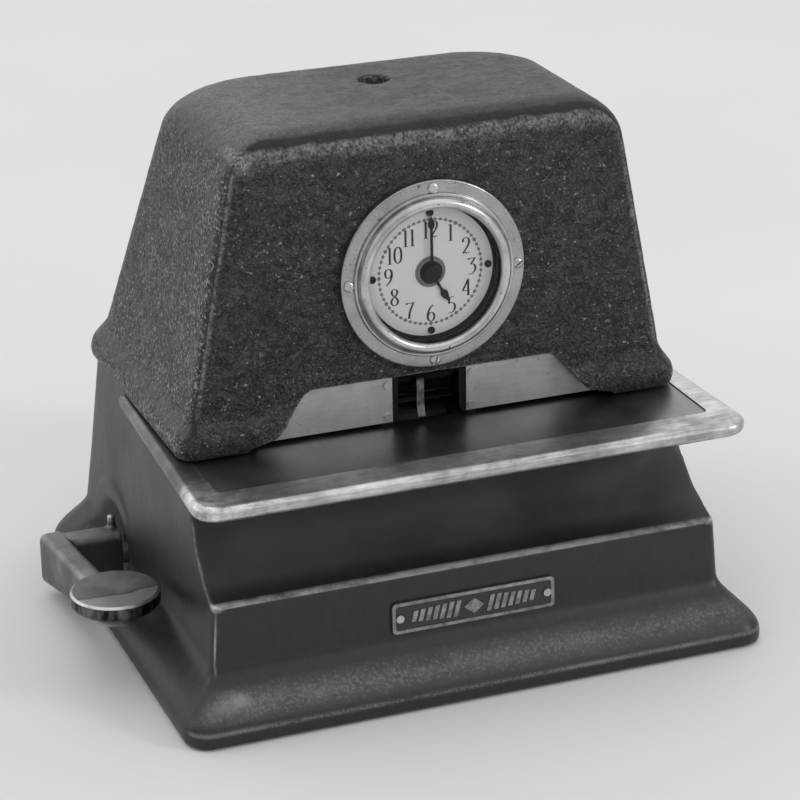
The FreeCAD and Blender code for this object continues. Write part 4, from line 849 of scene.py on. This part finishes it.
def track():
    """Minute track: a hairline ring with a dot for each minute."""
    work = bmesh.new()
    flat_ring(work, TRACK_RADIUS - TRACK_WIDTH / 2, TRACK_RADIUS + TRACK_WIDTH / 2, PRINT_Y)
    for minute in range(60):
        angle = 2 * math.pi * minute / 60
        x = dial_centre.x + TRACK_RADIUS * math.sin(angle)
        z = dial_centre.z + TRACK_RADIUS * math.cos(angle)
        dot = (0.84 if minute % 5 == 0 else 0.70) * MM
        work.faces.new(circle(work, x, z, dot, PRINT_Y - 0.005 * MM, 8))
    return thickened(work, "dial_track")


link("dial_figures", figures(), "cover", PRINT_BLACK)
link("dial_track", track(), "cover", PRINT_GREY)
hub_ring = bmesh.new()
flat_ring(hub_ring, 5.0 * MM, 6.6 * MM, PRINT_Y, 96)
link("dial_hub_ring", thickened(hub_ring, "dial_hub_ring"), "cover", PRINT_GREY)


# ----------------------------------------------------------------- nameplate
def front_plane(node):
    """Centre, right and up directions of the largest face that looks to the front."""
    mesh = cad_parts[node].data
    best = max((p for p in mesh.polygons if p.normal.y < -0.9), key=lambda p: p.area)
    normal = best.normal.copy()
    low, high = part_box(node)
    centre = (low + high) / 2
    centre = centre + normal * (Vector(best.center) - centre).dot(normal)
    right = Vector((1.0, 0.0, 0.0))
    return centre, right, normal.cross(right).normalized(), normal


def slab(work, outline, base, top):
    """Raised shape from a counter-clockwise outline in the plate's own plane."""
    low = [work.verts.new((x, -base, z)) for x, z in outline]
    high = [work.verts.new((x * 0.999, -top, z * 0.999)) for x, z in outline]
    count = len(outline)
    for k in range(count):
        work.faces.new((low[k], low[(k + 1) % count], high[(k + 1) % count], high[k]))
    work.faces.new(high)
    work.faces.new(low[::-1])


def rounded_rectangle(half_x, half_z, radius, steps=5):
    points = []
    for cx, cz, start in ((1, 1, 0), (-1, 1, 90), (-1, -1, 180), (1, -1, 270)):
        for step in range(steps + 1):
            angle = math.radians(start + 90 * step / steps)
            points.append((cx * (half_x - radius) + radius * math.cos(angle),
                           cz * (half_z - radius) + radius * math.sin(angle)))
    return points


def nameplate_relief():
    """Raised border and a geometric ornament that stands where lettering would be."""
    work = bmesh.new()
    top, base = 0.30, -0.02  # millimetres above and below the plate's face
    outer, inner = rounded_rectangle(35.7, 6.7, 1.9), rounded_rectangle(34.3, 5.3, 1.2)
    rows = []
    for (ax, az), (bx, bz) in zip(outer, inner):
        rows.append([work.verts.new(p) for p in (
            (ax, -base, az), (ax, -top, az), (bx, -top, bz), (bx, -base, bz))])
    for k, here in enumerate(rows):
        after = rows[(k + 1) % len(rows)]
        for a in range(4):
            b = (a + 1) % 4
            work.faces.new((here[a], after[a], after[b], here[b]))
    slab(work, [(-4.4, 0.0), (0.0, -3.4), (4.4, 0.0), (0.0, 3.4)], base, top)
    first_bar, bar_pitch, half_bar, slant = 7.4, 3.1, 0.95, 3 / 11
    for side in (-1, 1):
        for k, half_height in enumerate((3.5, 3.4, 3.2, 3.0, 2.8, 2.6, 2.3)):
            x = side * (first_bar + bar_pitch * k)
            lean = slant * half_height
            slab(work, [(x - half_bar - lean, -half_height), (x + half_bar - lean, -half_height),
                        (x + half_bar + lean, half_height), (x - half_bar + lean, half_height)], base, top)
    bmesh.ops.recalc_face_normals(work, faces=work.faces)
    mesh = bpy.data.meshes.new("nameplate_relief")
    work.to_mesh(mesh)
    work.free()
    centre, right, up, normal = front_plane("nameplate")
    turn = Matrix((right, -normal, up)).transposed().to_4x4()
    mesh.transform(Matrix.Translation(centre) @ turn @ Matrix.Scale(MM, 4))
    return mesh


link("nameplate_relief", nameplate_relief(), "frame", NAME_RAISED)

# -------------------------------------------------------------------- lever
cast("lever_skin", "lever", "lever", LEVER_METAL, 0.6 * MM, 6, 0.03 * MM)

# ---------------------------------------------------------- floor and lights
FLOOR_REACH = 8  # metres from the middle
floor_mesh = bpy.data.meshes.new("floor")
floor_corners = ((-1, -1), (1, -1), (1, 1), (-1, 1))
floor_mesh.from_pydata([(x * FLOOR_REACH, y * FLOOR_REACH, 0) for x, y in floor_corners], [], [(0, 1, 2, 3)])
floor = bpy.data.objects.new("floor", floor_mesh)
scene.collection.objects.link(floor)
paper = Shader("paper")
paper_tone = paper.blend(paper.span(paper.noise(3.0, 3.0), 0.3, 0.7), grey(0.72), grey(0.75))
floor_mesh.materials.append(paper.set(colour=paper_tone, rough=0.9, specular=0.1))


def lamp(name, place, target, width, height, power):
    """Soft rectangular lamp aimed at a point."""
    data = bpy.data.lights.new(name, "AREA")
    data.shape = "RECTANGLE"
    data.size = width
    data.size_y = height
    data.energy = power
    item = bpy.data.objects.new(name, data)
    scene.collection.objects.link(item)
    item.location = place
    item.visible_camera = False
    item.rotation_euler = (target - Vector(place)).to_track_quat("-Z", "Y").to_euler()


MIDDLE = (CAD_BOX[0] + CAD_BOX[1]) / 2
lamp("left_panel", (-3.0, 1.2, 1.6), MIDDLE, 1.6, 1.0, 9)
lamp("right_key", (2.6, -2.3, 1.5), MIDDLE, 0.55, 0.55, 26)

# studio light that grows towards the top and towards the back
DIM, FROM_ABOVE, FROM_BEHIND = 0.34, 0.75, 0.45
world = bpy.data.worlds.new("studio")
world.use_nodes = True
sky = world.node_tree
direction = sky.nodes.new("ShaderNodeSeparateXYZ")
sky.links.new(sky.nodes.new("ShaderNodeTexCoord").outputs["Generated"], direction.inputs[0])
glow = None
for axis, gain in (("Z", FROM_ABOVE), ("Y", FROM_BEHIND)):
    lobe = sky.nodes.new("ShaderNodeMath")
    lobe.operation = "MULTIPLY"
    lobe.use_clamp = True
    lobe.inputs[1].default_value = gain
    sky.links.new(direction.outputs[axis], lobe.inputs[0])
    total = sky.nodes.new("ShaderNodeMath")
    total.inputs[0].default_value = DIM
    if glow is not None:
        sky.links.new(glow, total.inputs[0])
    sky.links.new(lobe.outputs[0], total.inputs[1])
    glow = total.outputs[0]
backdrop = sky.nodes["Background"]
backdrop.inputs["Color"].default_value = grey(1.0)
sky.links.new(glow, backdrop.inputs["Strength"])
scene.world = world
scene.view_settings.view_transform = "Standard"

# -------------------------------------------------------------------- camera
AZIMUTH, ELEVATION, ROLL = (math.radians(a) for a in (20.57, 21.81, -1.04))
CAMERA_AIM = Vector((4.03, -4.11, 90.47)) * MM
CAMERA_DISTANCE = 1.2438
CAMERA_SENSOR, CAMERA_LENS = 36.0, 130.1
back = Vector((-math.sin(AZIMUTH) * math.cos(ELEVATION), -math.cos(AZIMUTH) * math.cos(ELEVATION),
               math.sin(ELEVATION)))
level = Vector((math.cos(AZIMUTH), -math.sin(AZIMUTH), 0.0))
upward = level.cross(-back)
side = level * math.cos(ROLL) + upward * math.sin(ROLL)
over = upward * math.cos(ROLL) - level * math.sin(ROLL)
camera_data = bpy.data.cameras.new("camera")
camera_data.sensor_width = CAMERA_SENSOR
camera_data.lens = CAMERA_LENS
camera = bpy.data.objects.new("camera", camera_data)
scene.collection.objects.link(camera)
camera.matrix_world = Matrix.Translation(CAMERA_AIM + back * CAMERA_DISTANCE) @ Matrix(
    (side, over, back)).transposed().to_4x4()
scene.camera = camera
